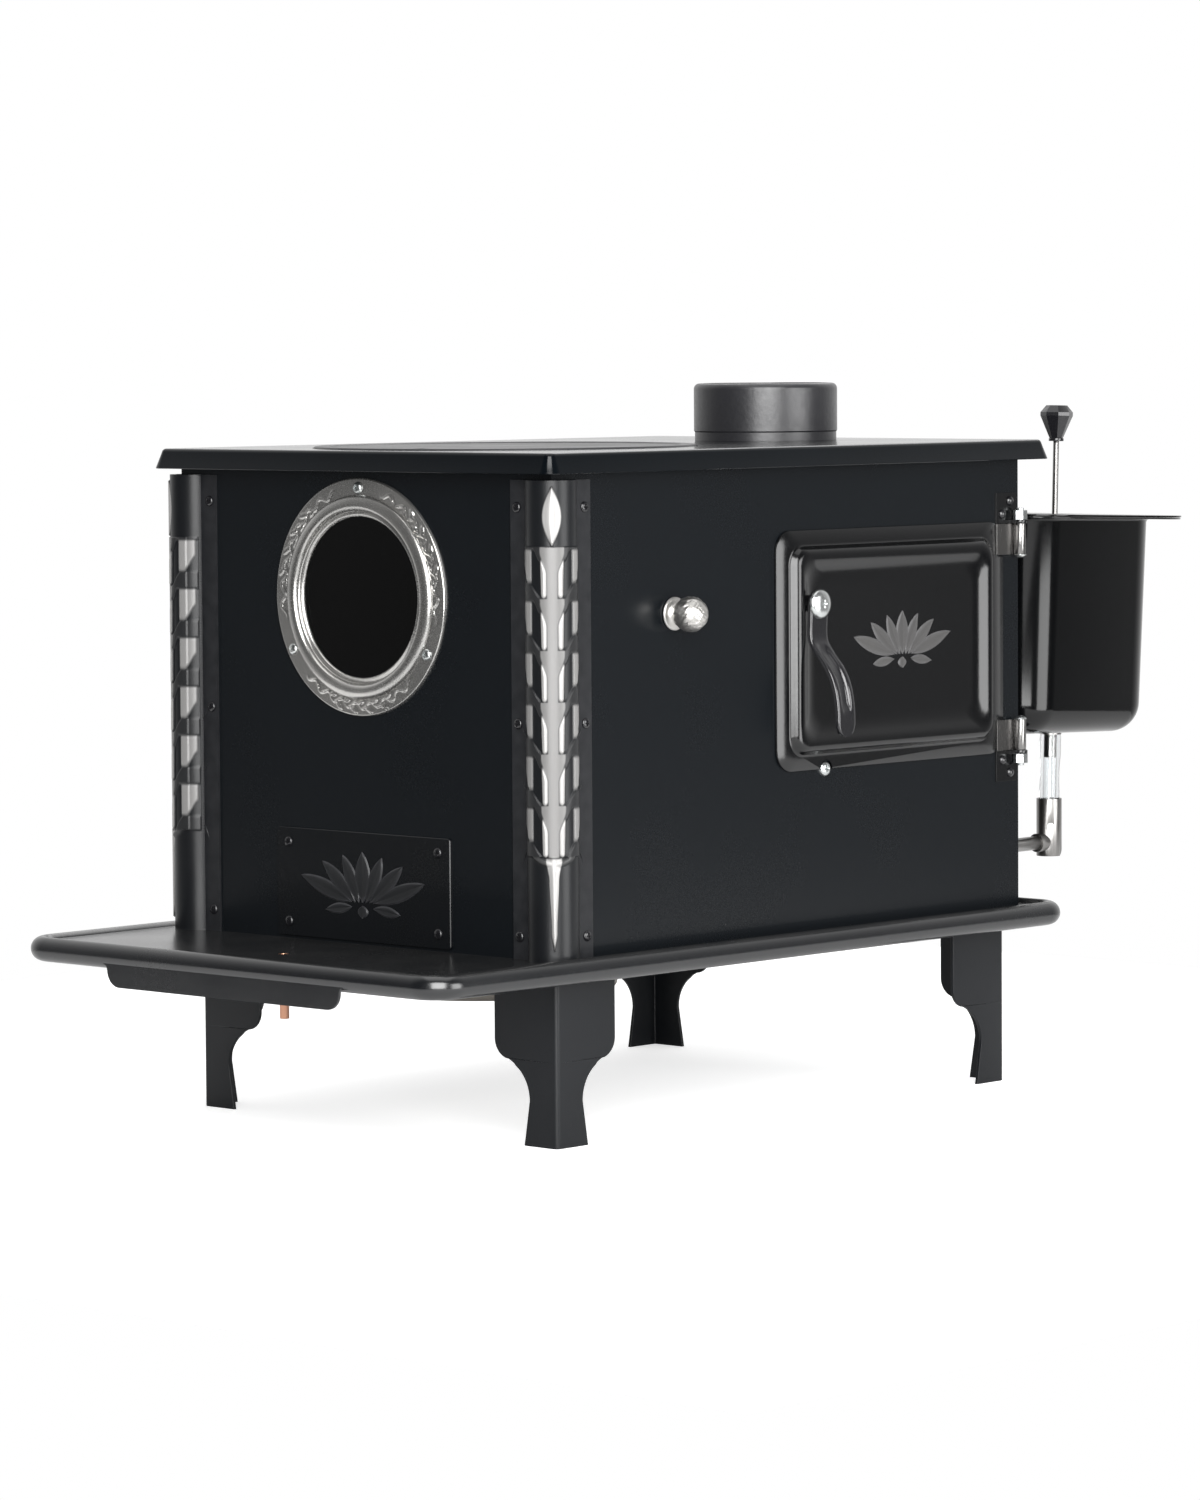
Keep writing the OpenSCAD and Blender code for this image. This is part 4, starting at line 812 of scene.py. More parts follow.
def palmette(form: Form, place: Matrix, height: float, relief: float) -> None:
    """Lays a fan of leaves like a carved palmette.

    Args:
        form: the form that takes the leaves.
        place: the foot of the middle leaf.
        height: the length of the middle leaf.
        relief: how far the leaves stand out.
    """
    tilts, lengths = (26, 50, 72), (1.02, 1.2, 1.5)
    form.leaf(height, height * 0.44, relief, place)
    for side in Side:
        for i, (tilt, share) in enumerate(zip(tilts, lengths)):
            foot = Matrix.Translation((side.value * height * 0.1 * (i + 1), 0, 0))
            turn = Matrix.Rotation(math.radians(-side.value * tilt), 4, "Z")
            form.leaf(height * share, height * 0.34, relief, place @ foot @ turn)
        foot = Matrix.Translation((side.value * height * 0.3, -height * 0.1, 0))
        turn = Matrix.Rotation(math.radians(-side.value * 97), 4, "Z")
        form.leaf(height * 0.75, height * 0.22, relief, place @ foot @ turn)
    form.leaf(height * 0.26, height * 0.3, relief, place @ Matrix.Translation((0, -height * 0.32, 0)))


@dataclass
class Hearth:
    """The rolled tray with its lip and drain, on four bent legs."""

    bench: Bench
    on: Places
    size: tuple[float, float, float] = (484.0, 778.0, 30.0)
    rim_r: float = 10.0
    rim_z: float = 144.0
    web: float = 8.0
    sheet: float = 3.0
    pot_hole: tuple[float, float, float] = (0.0, -148.0, 109.5)
    drain: tuple[float, float, float] = (0.0, -380.0, 4.65)
    bolts: Pair = (185.0, 261.0)
    corner: Pair = (203.0, 279.0)
    leg_h: float = 147.0
    foot: Pair = (36.0, 36.0)
    waist: float = 30.0
    cove_r: float = 32.0
    cove_top: float = 63.1
    neck: Pair = (45.04, 50.34)
    shoulder: Pair = (84.0, 16.0)
    flange_w: float = 68.0
    bend_r: float = 4.0

    def tray(self) -> None:
        """Makes the tray: a rolled rim round a flat floor with its holes."""
        form = Form()
        r, t = self.rim_r, self.sheet
        top = self.on.tray_z - self.rim_z
        inner = r + self.web
        profile = [(-inner, top), (-inner + 3, top + 0.3), (-r - 2, r - 0.7), *arc(-r, 0, r, 90, -90, 20),
                   (-r, t - r), *arc(-r, 0, r - t, -90, 90, 12), (-inner, top - t)]
        middle = self.on.at(*TRAY_MIDDLE, self.rim_z)
        form.rim(profile, self.size, middle)
        width, depth, radius = self.size
        outline = round_rect(width - 2 * inner, depth - 2 * inner, radius - inner)
        holes = [circle(self.pot_hole[2], 96, self.pot_hole[0], self.pot_hole[1] - TRAY_MIDDLE[1]),
                 circle(self.drain[2], 24, self.drain[0], self.drain[1] - TRAY_MIDDLE[1])]
        holes += [circle(4.1, 20, x * self.bolts[0], y * self.bolts[1] - TRAY_MIDDLE[1])
                  for x in (-1, 1) for y in (-1, 1)]
        form.plate(outline, holes, top - t, top, middle, edge=False)
        self.bench.build("tray_pan", form, TRAY_PAINT, Body.STOVE, Slot.TRAY, ["hearth_tray"])

    def leg_width(self, z: float) -> float:
        """Gives the width of a leg's flange at a height: foot, waist, neck and shoulder."""
        foot_w, foot_h = self.foot
        level, radius = self.shoulder
        if z < foot_h:
            return foot_w - (foot_w - self.waist) * z / foot_h
        if z < self.cove_top:
            return self.waist + self.cove_r - math.sqrt(max(0.0, self.cove_r ** 2 - (z - foot_h) ** 2))
        if z < level - radius:
            low, high = self.neck
            return low + (z - self.cove_top) / (level - radius - self.cove_top) * (high - low)
        if z < level:
            return self.flange_w - radius + math.sqrt(max(0.0, radius ** 2 - (z - level) ** 2))
        return self.flange_w

    def leg(self, name: str, x: Side, y: Side) -> None:
        """Makes one leg bent from sheet, with its tab under the tray.

        Args:
            name: the leg's CAD node.
            x: which side it stands on.
            y: whether it is at the front or the rear.
        """
        form = Form()
        t, r = self.sheet, self.bend_r
        foot_h, cove_h = self.foot[1], self.cove_top - self.foot[1]
        level, reach = self.shoulder[0], self.shoulder[1] - 0.01
        heights = [
            0, foot_h / 3, foot_h / 1.5, foot_h, *[foot_h + cove_h * i / 12 for i in range(1, 13)], 65.5,
            *[level - reach * math.cos(math.pi / 2 * i / 14) for i in range(15)], 105, self.leg_h,
        ]
        corner = Matrix.Translation((x.value * self.corner[0], y.value * self.corner[1], 0))
        place = corner @ Matrix.Diagonal((-x.value, -y.value, 1, 1))
        rows = []
        for z in heights:
            w = self.leg_width(z)
            outer = [(w, 0.0), *arc(r, r, r, 270, 180, 6), (0.0, w)]
            inner = [(t, w), *arc(r, r, r - t, 180, 270, 6), (w, t)]
            rows.append([place @ Vector((px, py, z)) for px, py in outer + inner])
        form.net(rows, first=True, last=True)
        tab = self.foot[0]
        form.prism([(r, r), (tab, r), (tab, tab), (r, tab)], self.leg_h - t, self.leg_h, place)
        self.bench.build(f"{name}_sheet", form, LEG_PAINT, Body.STOVE, Slot.LEG, [name], edge=0.5)

    def make(self) -> None:
        """Makes the hearth and dresses what stays as the CAD has it."""
        self.tray()
        for x, side in ((Side.LEFT, "left"), (Side.RIGHT, "right")):
            self.leg(f"leg_front_{side}", x, Side.LEFT)
            self.leg(f"leg_rear_{side}", x, Side.RIGHT)
        self.bench.dress(TRAY_PAINT, ["tray_apron"])
        self.bench.dress(COPPER, ["drain_pipe"], edge=0.3)
        self.bench.dress(ZINC, ["leg_bolts", "leg_nuts"], edge=0.4)


@dataclass
class Casing:
    """The body: panels, top with its lid and collar, corner columns and lower cover."""

    bench: Bench
    on: Places
    top_size: tuple[float, float, float] = (457.0, 624.0, 12.0)
    top_y: float = 3.5
    top_z: float = 549.0
    skirt_h: float = 16.5
    lid: Pair = (-121.0, 159.0)
    lid_bore: float = 152.5
    ledge_r: float = 164.5
    ledge_t: float = 4.0
    flue: Pair = (204.0, 61.3)
    column: Pair = (203.5, -281.5)
    column_r: float = 20.3
    column_wall: float = 4.0
    column_top: float = 527.5
    panel_in: float = 7.5
    flange: Pair = (17.0, 2.0)
    screw_in: float = 10.0
    tier_top: float = 476.0
    pitch: float = 40.5
    tiers: int = 6
    oval: Pair = (47.0, 7.8)
    dagger: Pair = (74.0, 6.4)
    cover: tuple[float, float, float] = (198.0, 89.0, 196.5)

    def top(self) -> None:
        """Makes the top plate with its rounded skirt and its two holes."""
        form = Form()
        width, depth, radius = self.top_size
        foot, under = self.top_z - self.skirt_h, self.on.plate_z
        profile = [(-9.0, under), (-8.6, under - 2.0), (-4.0, foot + 0.5), (-3.5, foot), (-0.5, foot),
                   (0.0, foot + 0.5), (-1.0, foot + 3.0), *arc(-9.0, under, 4.0, 8, 90, 8),
                   (-radius, self.top_z)]
        middle = self.on.at(0, self.top_y, 0)
        form.rim([(-radius, under), *profile], self.top_size, middle, steps=10)
        outline = [(sx * (width / 2 - radius), sy * (depth / 2 - radius)) for sx, sy in
                   ((1, 1), (-1, 1), (-1, -1), (1, -1))]
        holes = [circle(self.lid[1], 128, 0, self.lid[0] - self.top_y),
                 circle(self.flue[1], 64, 0, self.flue[0] - self.top_y)]
        form.plate(outline, holes, under, self.top_z, middle, edge=False)
        ledge = under - self.ledge_t
        form.lathe([(self.lid_bore, ledge), (self.ledge_r, ledge), (self.ledge_r, under), (self.lid_bore, under)],
                   self.on.at(0, self.lid[0], 0), steps=128, closed=True)
        self.bench.build("top_sheet", form, TOP_ENAMEL, Body.STOVE, Slot.BODY, ["top_plate"])

    def leaves(self, across: float, z: float) -> Pair:
        """Gives the relief of a column's cast leaves.

        Args:
            across: how far round the column from its middle line, in mm.
            z: the height.

        Returns:
            How far the surface stands out, and how much silvering lies on it, which on the blade's
            curled arms is a painted highlight.
        """
        s = abs(across)
        length, wide = self.oval
        low = self.tier_top - self.tiers * self.pitch
        flutes = 0.14 * math.sin(2 * math.pi * z / 2.3) * smooth(34.0, 37.0, s)
        # The bud over the leaves
        if z >= self.tier_top:
            t = (z - self.tier_top) / length
            half = wide * math.sin(math.pi * t) if 0 < t < 1 else 0.0
            inside = smooth(half + 0.3, half - 1.2, s) if half > 0.3 else 0.0
            return flutes + 1.4 * smooth(half + 0.3, 0.1 * half, s) * (half > 0.3), inside
        if z <= low:
            relief, silver_and_sheen = self._dagger(s, z, low)
            return flutes + relief, silver_and_sheen
        # One tier of leaves, where t runs down from its top
        tier = (self.tier_top - z) / self.pitch
        t = tier - math.floor(tier)
        opened = 0.27 - 0.23 * smooth(9.5, 16.0, s)
        closed = 1.0 - 0.29 * smooth(8.0, 21.0, s)
        edge = 4.1 + 5.5 * (1 - smooth(0.08, 0.55, t))
        outer = 9.4 - 0.9 * t
        skirt = smooth(35.5, 34.0, s)
        hollow = smooth(opened - 0.02, opened + 0.03, t) * smooth(closed + 0.02, closed - 0.03, t)
        hollow *= smooth(outer - 0.3, outer + 0.7, s) * skirt
        end = 0.985 - 0.05 * ((s - 6.3) / 2.1) ** 2
        crown = (edge + outer) / 2
        ends = smooth(0.22, 0.34, t) * smooth(end + 0.02, end - 0.03, t)
        leaf = smooth(edge - 0.2, edge + 0.9, s) * smooth(outer + 0.2, outer - 0.9, s) * ends
        pad = smooth(edge - 0.4, crown, s) * smooth(outer + 0.4, crown, s) * ends
        foot = 0.73 - 0.30 * smooth(22.0, 33.0, s)
        slot = smooth(17.2, 19.0, s) * smooth(34.0, 31.0, s)
        slot *= smooth(0.03, 0.10, t) * smooth(foot, foot - 0.1, t)
        band = smooth(edge + 0.4, edge - 0.9, s)
        relief = (0.5 + 0.7 * smooth(26.0, 24.0, s)) * (skirt * (1 - hollow) + slot) + 1.0 * pad
        return relief + flutes, max(leaf, 0.46 * band, 0.6 * slot, 0.03 * skirt * (1 - hollow))

    def _dagger(self, s: float, z: float, low: float) -> Pair:
        """Gives the relief of the blade with curled shoulders under the leaves, and its silvering, which on the
        curled arms is a painted highlight.
        """
        length, half = self.dagger
        t = (low - z) / length
        if t > 1:
            return 0.0, 0.0
        narrowed = 0.4 * smooth(0.0, 0.25, t) + 0.26 * smooth(0.2, 0.8, t) + 0.32 * smooth(0.8, 1.0, t)
        blade = half * (1 - narrowed)
        inside = smooth(blade + 0.3, blade - 0.8, s) * smooth(0.0, 0.03, t)
        curl = low - 5.0 - z + 0.02 * s ** 2
        arm = 1.4 * smooth(3.2, 0.8, abs(curl)) * smooth(21.0, 16.0, s)
        # The curled arms take a little silvering only as a painted highlight; the blade's silvering is its own.
        return max(1.5 * smooth(blade + 0.3, blade * 0.1, s), arm), max(inside, 0.07 * arm)

    def corner_column(self, name: str, side: Side) -> None:
        """Makes one column that wraps the panels' corner, with its cast leaves and screw flanges.

        Args:
            name: the column's CAD node.
            side: the corner that it stands on.
        """
        form = Form()
        place = self.on.at(side.value * self.column[0], self.column[1], 0)
        place = place @ Matrix.Diagonal((side.value, 1, 1, 1))
        r, inner_r = self.column_r, self.column_r - self.column_wall
        outer_end = math.radians(135.0) - math.asin(self.panel_in / r)
        inner_end = math.radians(135.0) - math.asin(self.panel_in / inner_r)
        across, levels, within = 220, 420, 16
        rows, silver_and_sheen = [], []
        low, high = self.on.tray_z, self.column_top
        for i in range(levels + 1):
            z = low + (high - low) * i / levels
            row = []
            silver_and_sheen.append([])
            for j in range(across + 1):
                turn = outer_end * (2 * j / across - 1)
                fade = smooth(outer_end, outer_end - 0.16, abs(turn))
                relief, share = self.leaves(r * turn, z)
                silver_and_sheen[-1].append(share * fade)
                out = r + relief * fade
                angle = turn - math.pi / 4
                row.append(place @ Vector((out * math.cos(angle), out * math.sin(angle), z)))
            for j in range(within + 1):
                angle = inner_end * (1 - 2 * j / within) - math.pi / 4
                row.append(place @ Vector((inner_r * math.cos(angle), inner_r * math.sin(angle), z)))
            rows.append(row)
        form.net(rows, first=True, last=True, rubbed_and_sheen=silver_and_sheen)
        wide, thick = self.flange
        face = self.panel_in + thick
        edge = math.sqrt(r ** 2 - face ** 2)
        root = edge - self.column_wall / 2
        for x0, y0, x1, y1 in ((-edge - wide, -face, -root, thick - face),
                               (face - thick, root, face, edge + wide)):
            form.prism([(x0, y0), (x1, y0), (x1, y1), (x0, y1)], low, high, place)
        self._tips(form, place, edge, face)
        self.bench.build(f"{name}_cast", form, COLUMN_ENAMEL, Body.STOVE, Slot.DOOR, [name], sharp=48)

    def _tips(self, form: Form, place: Matrix, edge: float, face: float) -> None:
        """Adds the small curled leaf tips that run out on the flanges near the foot.

        Args:
            form: the column's form.
            place: where its axis stands.
            edge: how far from the axis the flanges begin.
            face: how far from the axis the flanges' faces lie.
        """
        low = self.tier_top - self.tiers * self.pitch
        steps, reach = 8, 7.0
        for rise, climb in ((low + 4.0, -12.0), (low + self.pitch + 9.0, 9.0), (low + 2 * self.pitch + 12.0, 9.0)):
            for turn in (0, 1):
                rows = []
                for i in range(steps + 1):
                    t = i / steps
                    along, up = edge - 1.0 + reach * t, rise + climb * t * t
                    half = 0.9 * math.sin(math.pi * (0.15 + 0.8 * t))
                    ring = []
                    for x, z in circle(half, 8):
                        spot = (face + 0.8 * x, along) if turn else (-along, -face - 0.8 * x)
                        ring.append(place @ Vector((*spot, up + 1.2 * z)))
                    rows.append(ring)
                form.net(rows, first=True, last=True)

    def screws(self) -> None:
        """Makes the black cross-head screws of the columns and of the lower cover."""
        form = Form()
        face = self.panel_in + self.flange[1]
        reach = math.sqrt(self.column_r ** 2 - face ** 2) + self.screw_in
        for z in (168.0, 336.0, 506.0):
            for side in Side:
                panel = self.on.right if side is Side.RIGHT else self.on.left
                self._screw(form, self.on.front(side.value * (self.column[0] - reach), z), self.flange[1])
                self._screw(form, panel(self.column[1] + reach, z), self.flange[1])
        self.bench.build("column_screw_set", form, BLACK_SCREW, Body.STOVE, Slot.BLACK_SCREW,
                         ["column_screws"])
        form = Form()
        for x in (-85.5, 85.5):
            for z in (-32.5, 32.5):
                self._screw(form, self.on.front(x, self.cover[2] + z), 2.0)
        self.bench.build("cover_screw_set", form, BLACK_SCREW, Body.STOVE, Slot.BLACK_SCREW,
                         ["cover_screws"])

    def _screw(self, form: Form, spot: Matrix, seat: float) -> None:
        """Adds one screw with its shank, its head on a seat so far out of the panel."""
        form.lathe([(2.0, -5.0), (2.0, seat)], spot, steps=16)
        form.screw_head(4.4, 2.2, spot @ Matrix.Translation((0, 0, seat)), cross=2.3)

    def cover_plate(self) -> None:
        """Makes the lower cover with its pressed palmette."""
        form = Form()
        width, height, z = self.cover
        place = self.on.front(0, z)
        form.rim([(0, 0), (0, 1.4), (-0.6, 2.0)], (width, height, 3.0), place, steps=6,
                 first=True, last=True)
        self.bench.build("cover_sheet", form, COVER_ENAMEL, Body.STOVE, Slot.COVER, ["cover_plate"])
        form = Form()
        palmette(form, self.on.front(0, z - height * 0.14, 2.0), height * 0.46, 1.0)
        self.bench.build("cover_palmette", form, COVER_LEAF, Body.STOVE, Slot.COVER)

    def make(self) -> None:
        """Makes the casing and dresses what stays as the CAD has it."""
        self.top()
        self.corner_column("column_left", Side.LEFT)
        self.corner_column("column_right", Side.RIGHT)
        self.screws()
        self.cover_plate()
        self.bench.dress(BODY_ENAMEL, ["front_panel", "left_panel", "right_panel", "rear_panel"])
        self.bench.dress(LID_IRON, ["cooking_lid", "burner_ring"])
        self.bench.dress(COLLAR_IRON, ["flue_collar"])
        self.bench.dress(INNER_STEEL, ["baffle_plate", "baffle_rails"])


@dataclass
class Window:
    """The round window: embossed bezel, glass and bolts."""

    bench: Bench
    on: Places
    z: float = 431.0
    outer_r: float = 96.0
    crest: Pair = (79.0, 70.0)
    lip_r: float = 65.0
    thick: float = 3.0
    slope_w: float = 8.2
    bolt_ring: float = 88.0
    bolt_angles: tuple[float, ...] = (90.0, 210.0, 330.0)
    scroll_reach: float = 44.0

    def scroll(self, angle: float, radius: float) -> float:
        """Gives the relief of the leaf scrolls between the bolts.

        Args:
            angle: the turn round the window, in radians.
            radius: the distance from its middle.

        Returns:
            How far the surface stands out.
        """
        degrees = math.degrees(angle) % 360
        off = min(((degrees - a + 180) % 360 - 180 for a in (30.0, 150.0, 270.0)), key=abs)
        reach = smooth(self.scroll_reach, self.scroll_reach - 6.0, abs(off))
        band = smooth(82.9, 84.2, radius) * smooth(95.0, 93.8, radius)
        if not reach or not band:
            return 0.0
        along = off / 11.0
        vine = 87.2 + 2.6 * math.sin(2 * math.pi * along)
        height = 0.75 * smooth(1.5, 0.5, abs(radius - vine))
        for n in range(-4, 5):
            side = 1 if n % 2 else -1
            centre = (n + 0.25) * 5.5
            u, v = (off - centre) * 1.5, radius - 87.2 - side * 3.6
            turned = u * 0.8 + side * v * 0.6, -side * u * 0.6 + v * 0.8
            d = (turned[0] / 4.6) ** 2 + (turned[1] / 2.1) ** 2
            vein = 0.3 * smooth(0.5, 0.0, abs(turned[1]))
            height = max(height, (0.95 - vein) * smooth(1.0, 0.55, d))
        return 1.35 * height * reach * band

    def bezel(self) -> None:
        """Makes the bezel: embossed flat ring, round bead and double lip."""
        form = Form()
        lift = self.thick
        half = (self.crest[0] - self.crest[1]) / 2
        middle = (self.crest[0] + self.crest[1]) / 2
        flat = [self.outer_r - 1.4 - 0.6 * i for i in range(20)]
        profile = [(self.crest[0], 1.0), (self.crest[0], 0.0), (self.outer_r, 0.0),
                   (self.outer_r, lift - 0.9), (self.outer_r - 0.9, lift)]
        start = len(profile)
        profile += [(r, lift) for r in flat]
        for x, y in arc(0, 0, 1.0, 0, 180, 20):
            profile.append((middle + x * (self.slope_w if x > 0 else half), lift + half * y))
        profile += [(69.2, lift - 0.6), (68.2, lift - 0.2), (67.0, lift + 0.4), (66.0, lift - 0.2),
                    (self.lip_r, 1.8), (self.lip_r, 1.0)]
        spot = self.on.front(0, self.z)

        def relief(angle: float, step: int) -> float:
            """Lifts only the flat ring."""
            return self.scroll(angle, profile[step][0]) if start <= step < start + len(flat) else 0.0

        form.lathe(profile, spot, steps=540, closed=True, relief=relief)
        self.bench.build("bezel_ring", form, BEZEL_STEEL, Body.STOVE, Slot.BEZEL, ["window_bezel"],
                         sharp=50)

    def bolts(self) -> None:
        """Makes the cross-head bolts of the bezel with their nuts."""
        form = Form()
        for angle in self.bolt_angles:
            a = math.radians(angle)
            spot = self.on.front(self.bolt_ring * math.cos(a), self.z + self.bolt_ring * math.sin(a))
            form.lathe([(2.5, -10.0), (2.5, self.thick)], spot, steps=20)
            form.lathe([(4.6, -10.0), (4.6, -6.0)], spot, steps=6)
            form.screw_head(5.0, 3.0, spot @ Matrix.Translation((0, 0, self.thick)), cross=2.6)
        self.bench.build("bezel_bolt_set", form, ZINC, Body.STOVE, Slot.ZINC, ["window_bolts"])

    def make(self) -> None:
        """Makes the window and dresses its glass and its hidden rings."""
        self.bezel()
        self.bolts()
        glass = self.bench.paint.clear("smoked_glass", (0.10, 0.105, 0.11), (0.03, 0.08), 0.22)
        self.bench.dress(glass, ["window_glass"])
        self.bench.dress(ROPE_SEAL, ["window_gasket"])
        self.bench.dress(INNER_STEEL, ["window_retainer"])


@dataclass
class FireDoor:
    """The pressed door with its ornament, hinges, handle and latch."""

    bench: Bench
    on: Places
    middle: Pair = (120.0, 381.5)
    size: tuple[float, float, float] = (292.0, 197.0, 18.0)
    lift: float = 0.5
    spindle: Pair = (14.5, 420.0)
    stop_bolt: Pair = (35.0, 283.0)
    notch_r: float = 7.6
    handle_w: float = 22.0
    handle_t: float = 4.0
    handle_out: float = 9.9
    drop: float = 108.0

    GRIP = (1.0, 0.97, 0.88, 0.7, 0.5, 0.42, 0.34, 0.2)

    def shell(self) -> None:
        """Makes the door: flat flange, round pressed bead and a dished middle."""
        form = Form()
        place = self.on.right(*self.middle, self.lift)
        w, d, r = self.size
        front = [
            (w, d, r, 0.0), (w, d, r, 1.6), (w - 0.8, d - 0.8, r - 0.4, 2.0), (263, 175, 17, 2.0),
            (260, 172, 16, 2.3), (258, 170, 15.4, 3.4), (255.6, 167.6, 14.6, 5.4), (252.6, 164.6, 13.6, 7.2),
            (249, 161, 12.6, 8.3), (245.4, 157.4, 12.4, 8.8), (241, 153, 12.6, 8.9), (237, 149, 13.4, 8.6),
            (232, 144, 14.6, 7.7), (226, 138, 15.4, 6.3), (220, 132, 15.6, 5.2), (214, 126, 15.0, 4.5),
            (208, 120, 13.4, 4.1), (202, 114, 11.0, 4.0),
        ]
        back = [(202, 114, 11.0, 2.0), (226, 138, 15.4, 4.3), (241, 153, 12.6, 6.9), (249, 161, 12.6, 6.3),
                (255.6, 167.6, 14.6, 3.4), (260, 172, 16, 0.0), (w, d, r, 0.0)]
        for face, rings in enumerate((front, back)):
            rows = [[place @ Vector((x, y, out)) for x, y in round_rect(wide, deep, corner)]
                    for wide, deep, corner, out in rings]
            form.net(rows, first=face == 1, last=face == 0)
        self.bench.build("door_pressing", form, GLOSS_ENAMEL, Body.DOOR, Slot.DOOR, ["door_shell"], sharp=50)
        self._notch()
        form = Form()
        form.lathe([(4.1, 3.8), (7.0, 3.8), (7.0, 8.8), (6.6, 9.1), (4.1, 9.1)],
                   self.on.right(*self.spindle, self.lift), steps=32, closed=True)
        self.bench.build("door_boss", form, GLOSS_ENAMEL, Body.DOOR, Slot.DOOR)
        form = Form()
        palmette(form, place @ Matrix.Translation((10, -8, 4.0)), 36.0, 1.0)
        self.bench.build("door_palmette", form, LEAF_GREY, Body.DOOR, Slot.DOOR)

    def _notch(self) -> None:
        """Cuts the round notch for the stop bolt out of the door's lower edge."""
        door = bpy.data.objects["door_pressing"]
        cutter = Form()
        cutter.lathe([(self.notch_r, -3.0), (self.notch_r, 4.0)], self.on.right(*self.stop_bolt), steps=40)
        mesh = bpy.data.meshes.new("notch")
        mesh.from_pydata([tuple((p + self.bench.shift) * MM) for p in cutter.points], [], cutter.faces)
        tool = bpy.data.objects.new("notch", mesh)
        bpy.context.scene.collection.objects.link(tool)
        cut = door.modifiers.new("notch", "BOOLEAN")
        cut.object = tool
        cut.solver = "EXACT"
        depsgraph = bpy.context.evaluated_depsgraph_get()
        shaped = bpy.data.meshes.new_from_object(door.evaluated_get(depsgraph))
        door.modifiers.clear()
        door.data = shaped
        bpy.data.objects.remove(tool)

    def handle(self) -> None:
        """Makes the handle: a strip with an S bend and a groove pressed down its grip."""
        knots = [(0.0, -self.handle_w / 2), (0.0, 8.0), (0.0, 29.0), (7.4, 41.0), (19.5, 55.0), (26.3, 70.0),
                 (29.2, 88.0), (29.2, self.drop)]
        line = curve_through(knots, 9)
        place = self.on.right(self.spindle[0], self.spindle[1], self.handle_out)
        half_w = self.handle_w / 2
        form, rows = Form(), []
        for i, (out, down) in enumerate(line):
            a, b = Vector(line[max(0, i - 1)]), Vector(line[min(len(line) - 1, i + 1)])
            way = (b - a).normalized()
            past = max(0.0, -down, down - self.drop + half_w)
            half = math.sqrt(max(0.3, half_w ** 2 - past ** 2))
            groove = 2.3 * smooth(34.0, 42.0, down) * smooth(90.0, 80.0, down)
            section = self._section(half, groove)
            rows.append([place @ Vector((y, way.x * h - down, out + way.y * h)) for y, h in section])
        form.net(rows, first=True, last=True)
        self.bench.build("handle_strip", form, HANDLE_BLACK, Body.LATCH, Slot.HANDLE, ["door_handle"],
                         sharp=60)

    def _section(self, half: float, groove: float) -> list[Pair]:
        """Gives the handle's section.

        Args:
            half: half its width.
            groove: how deep the groove down its middle is.

        Returns:
            Its points, from one edge over the top to the other and back underneath.
        """
        top, under = [], []
        for u in (*[-u for u in self.GRIP], 0.0, *reversed(self.GRIP)):
            edge = self.handle_t * (0.5 if abs(u) == 1.0 else 0.82 if abs(u) == 0.97 else 1.0)
            top.append((u * half, edge - groove * smooth(0.5, 0.3, abs(u))))
        for u, height in ((1.0, 0.4), (0.95, 0.1), (0.85, 0.0), (-0.85, 0.0), (-0.95, 0.1), (-1.0, 0.4)):
            under.append((u * half, height))
        return top + under

    def fixings(self) -> None:
        """Makes the handle's mushroom bolt and the stop bolt."""
        form = Form()
        head = self.on.right(*self.spindle, self.handle_out + self.handle_t)
        form.lathe([(4.0, -35.0), (4.0, 0.0)], head, steps=24)
        form.screw_head(12.3, 5.4, head, cross=3.2)
        self.bench.build("handle_bolt_head", form, ZINC, Body.LATCH, Slot.ZINC, ["handle_bolt"])
        form = Form()
        spot = self.on.right(*self.stop_bolt)
        form.lathe([(3.0, -7.0), (3.0, 0.2)], spot, steps=24)
        form.screw_head(6.4, 4.0, spot, cross=3.0)
        self.bench.build("stop_bolt_head", form, ZINC, Body.STOVE, Slot.ZINC, ["door_stop_bolt"])

    def make(self) -> None:
        """Makes the door and dresses its hinges and latch."""
        self.shell()
        self.handle()
        self.fixings()
        self.bench.dress(GLOSS_ENAMEL, ["hinge_brackets"], edge=0.3)
        self.bench.dress(HINGE_STEEL, ["door_hinge_leaves"], edge=0.3)
        self.bench.dress(ZINC, ["hinge_bolts", "hinge_nuts", "latch_nut"], edge=0.3)
        self.bench.dress(BLACK_SCREW, ["bracket_rivets"], edge=0.3)
        self.bench.dress(INNER_STEEL, ["door_liner", "latch_tongue", "latch_keeper"])
        self.bench.dress(ROPE_SEAL, ["door_rope_seal"])


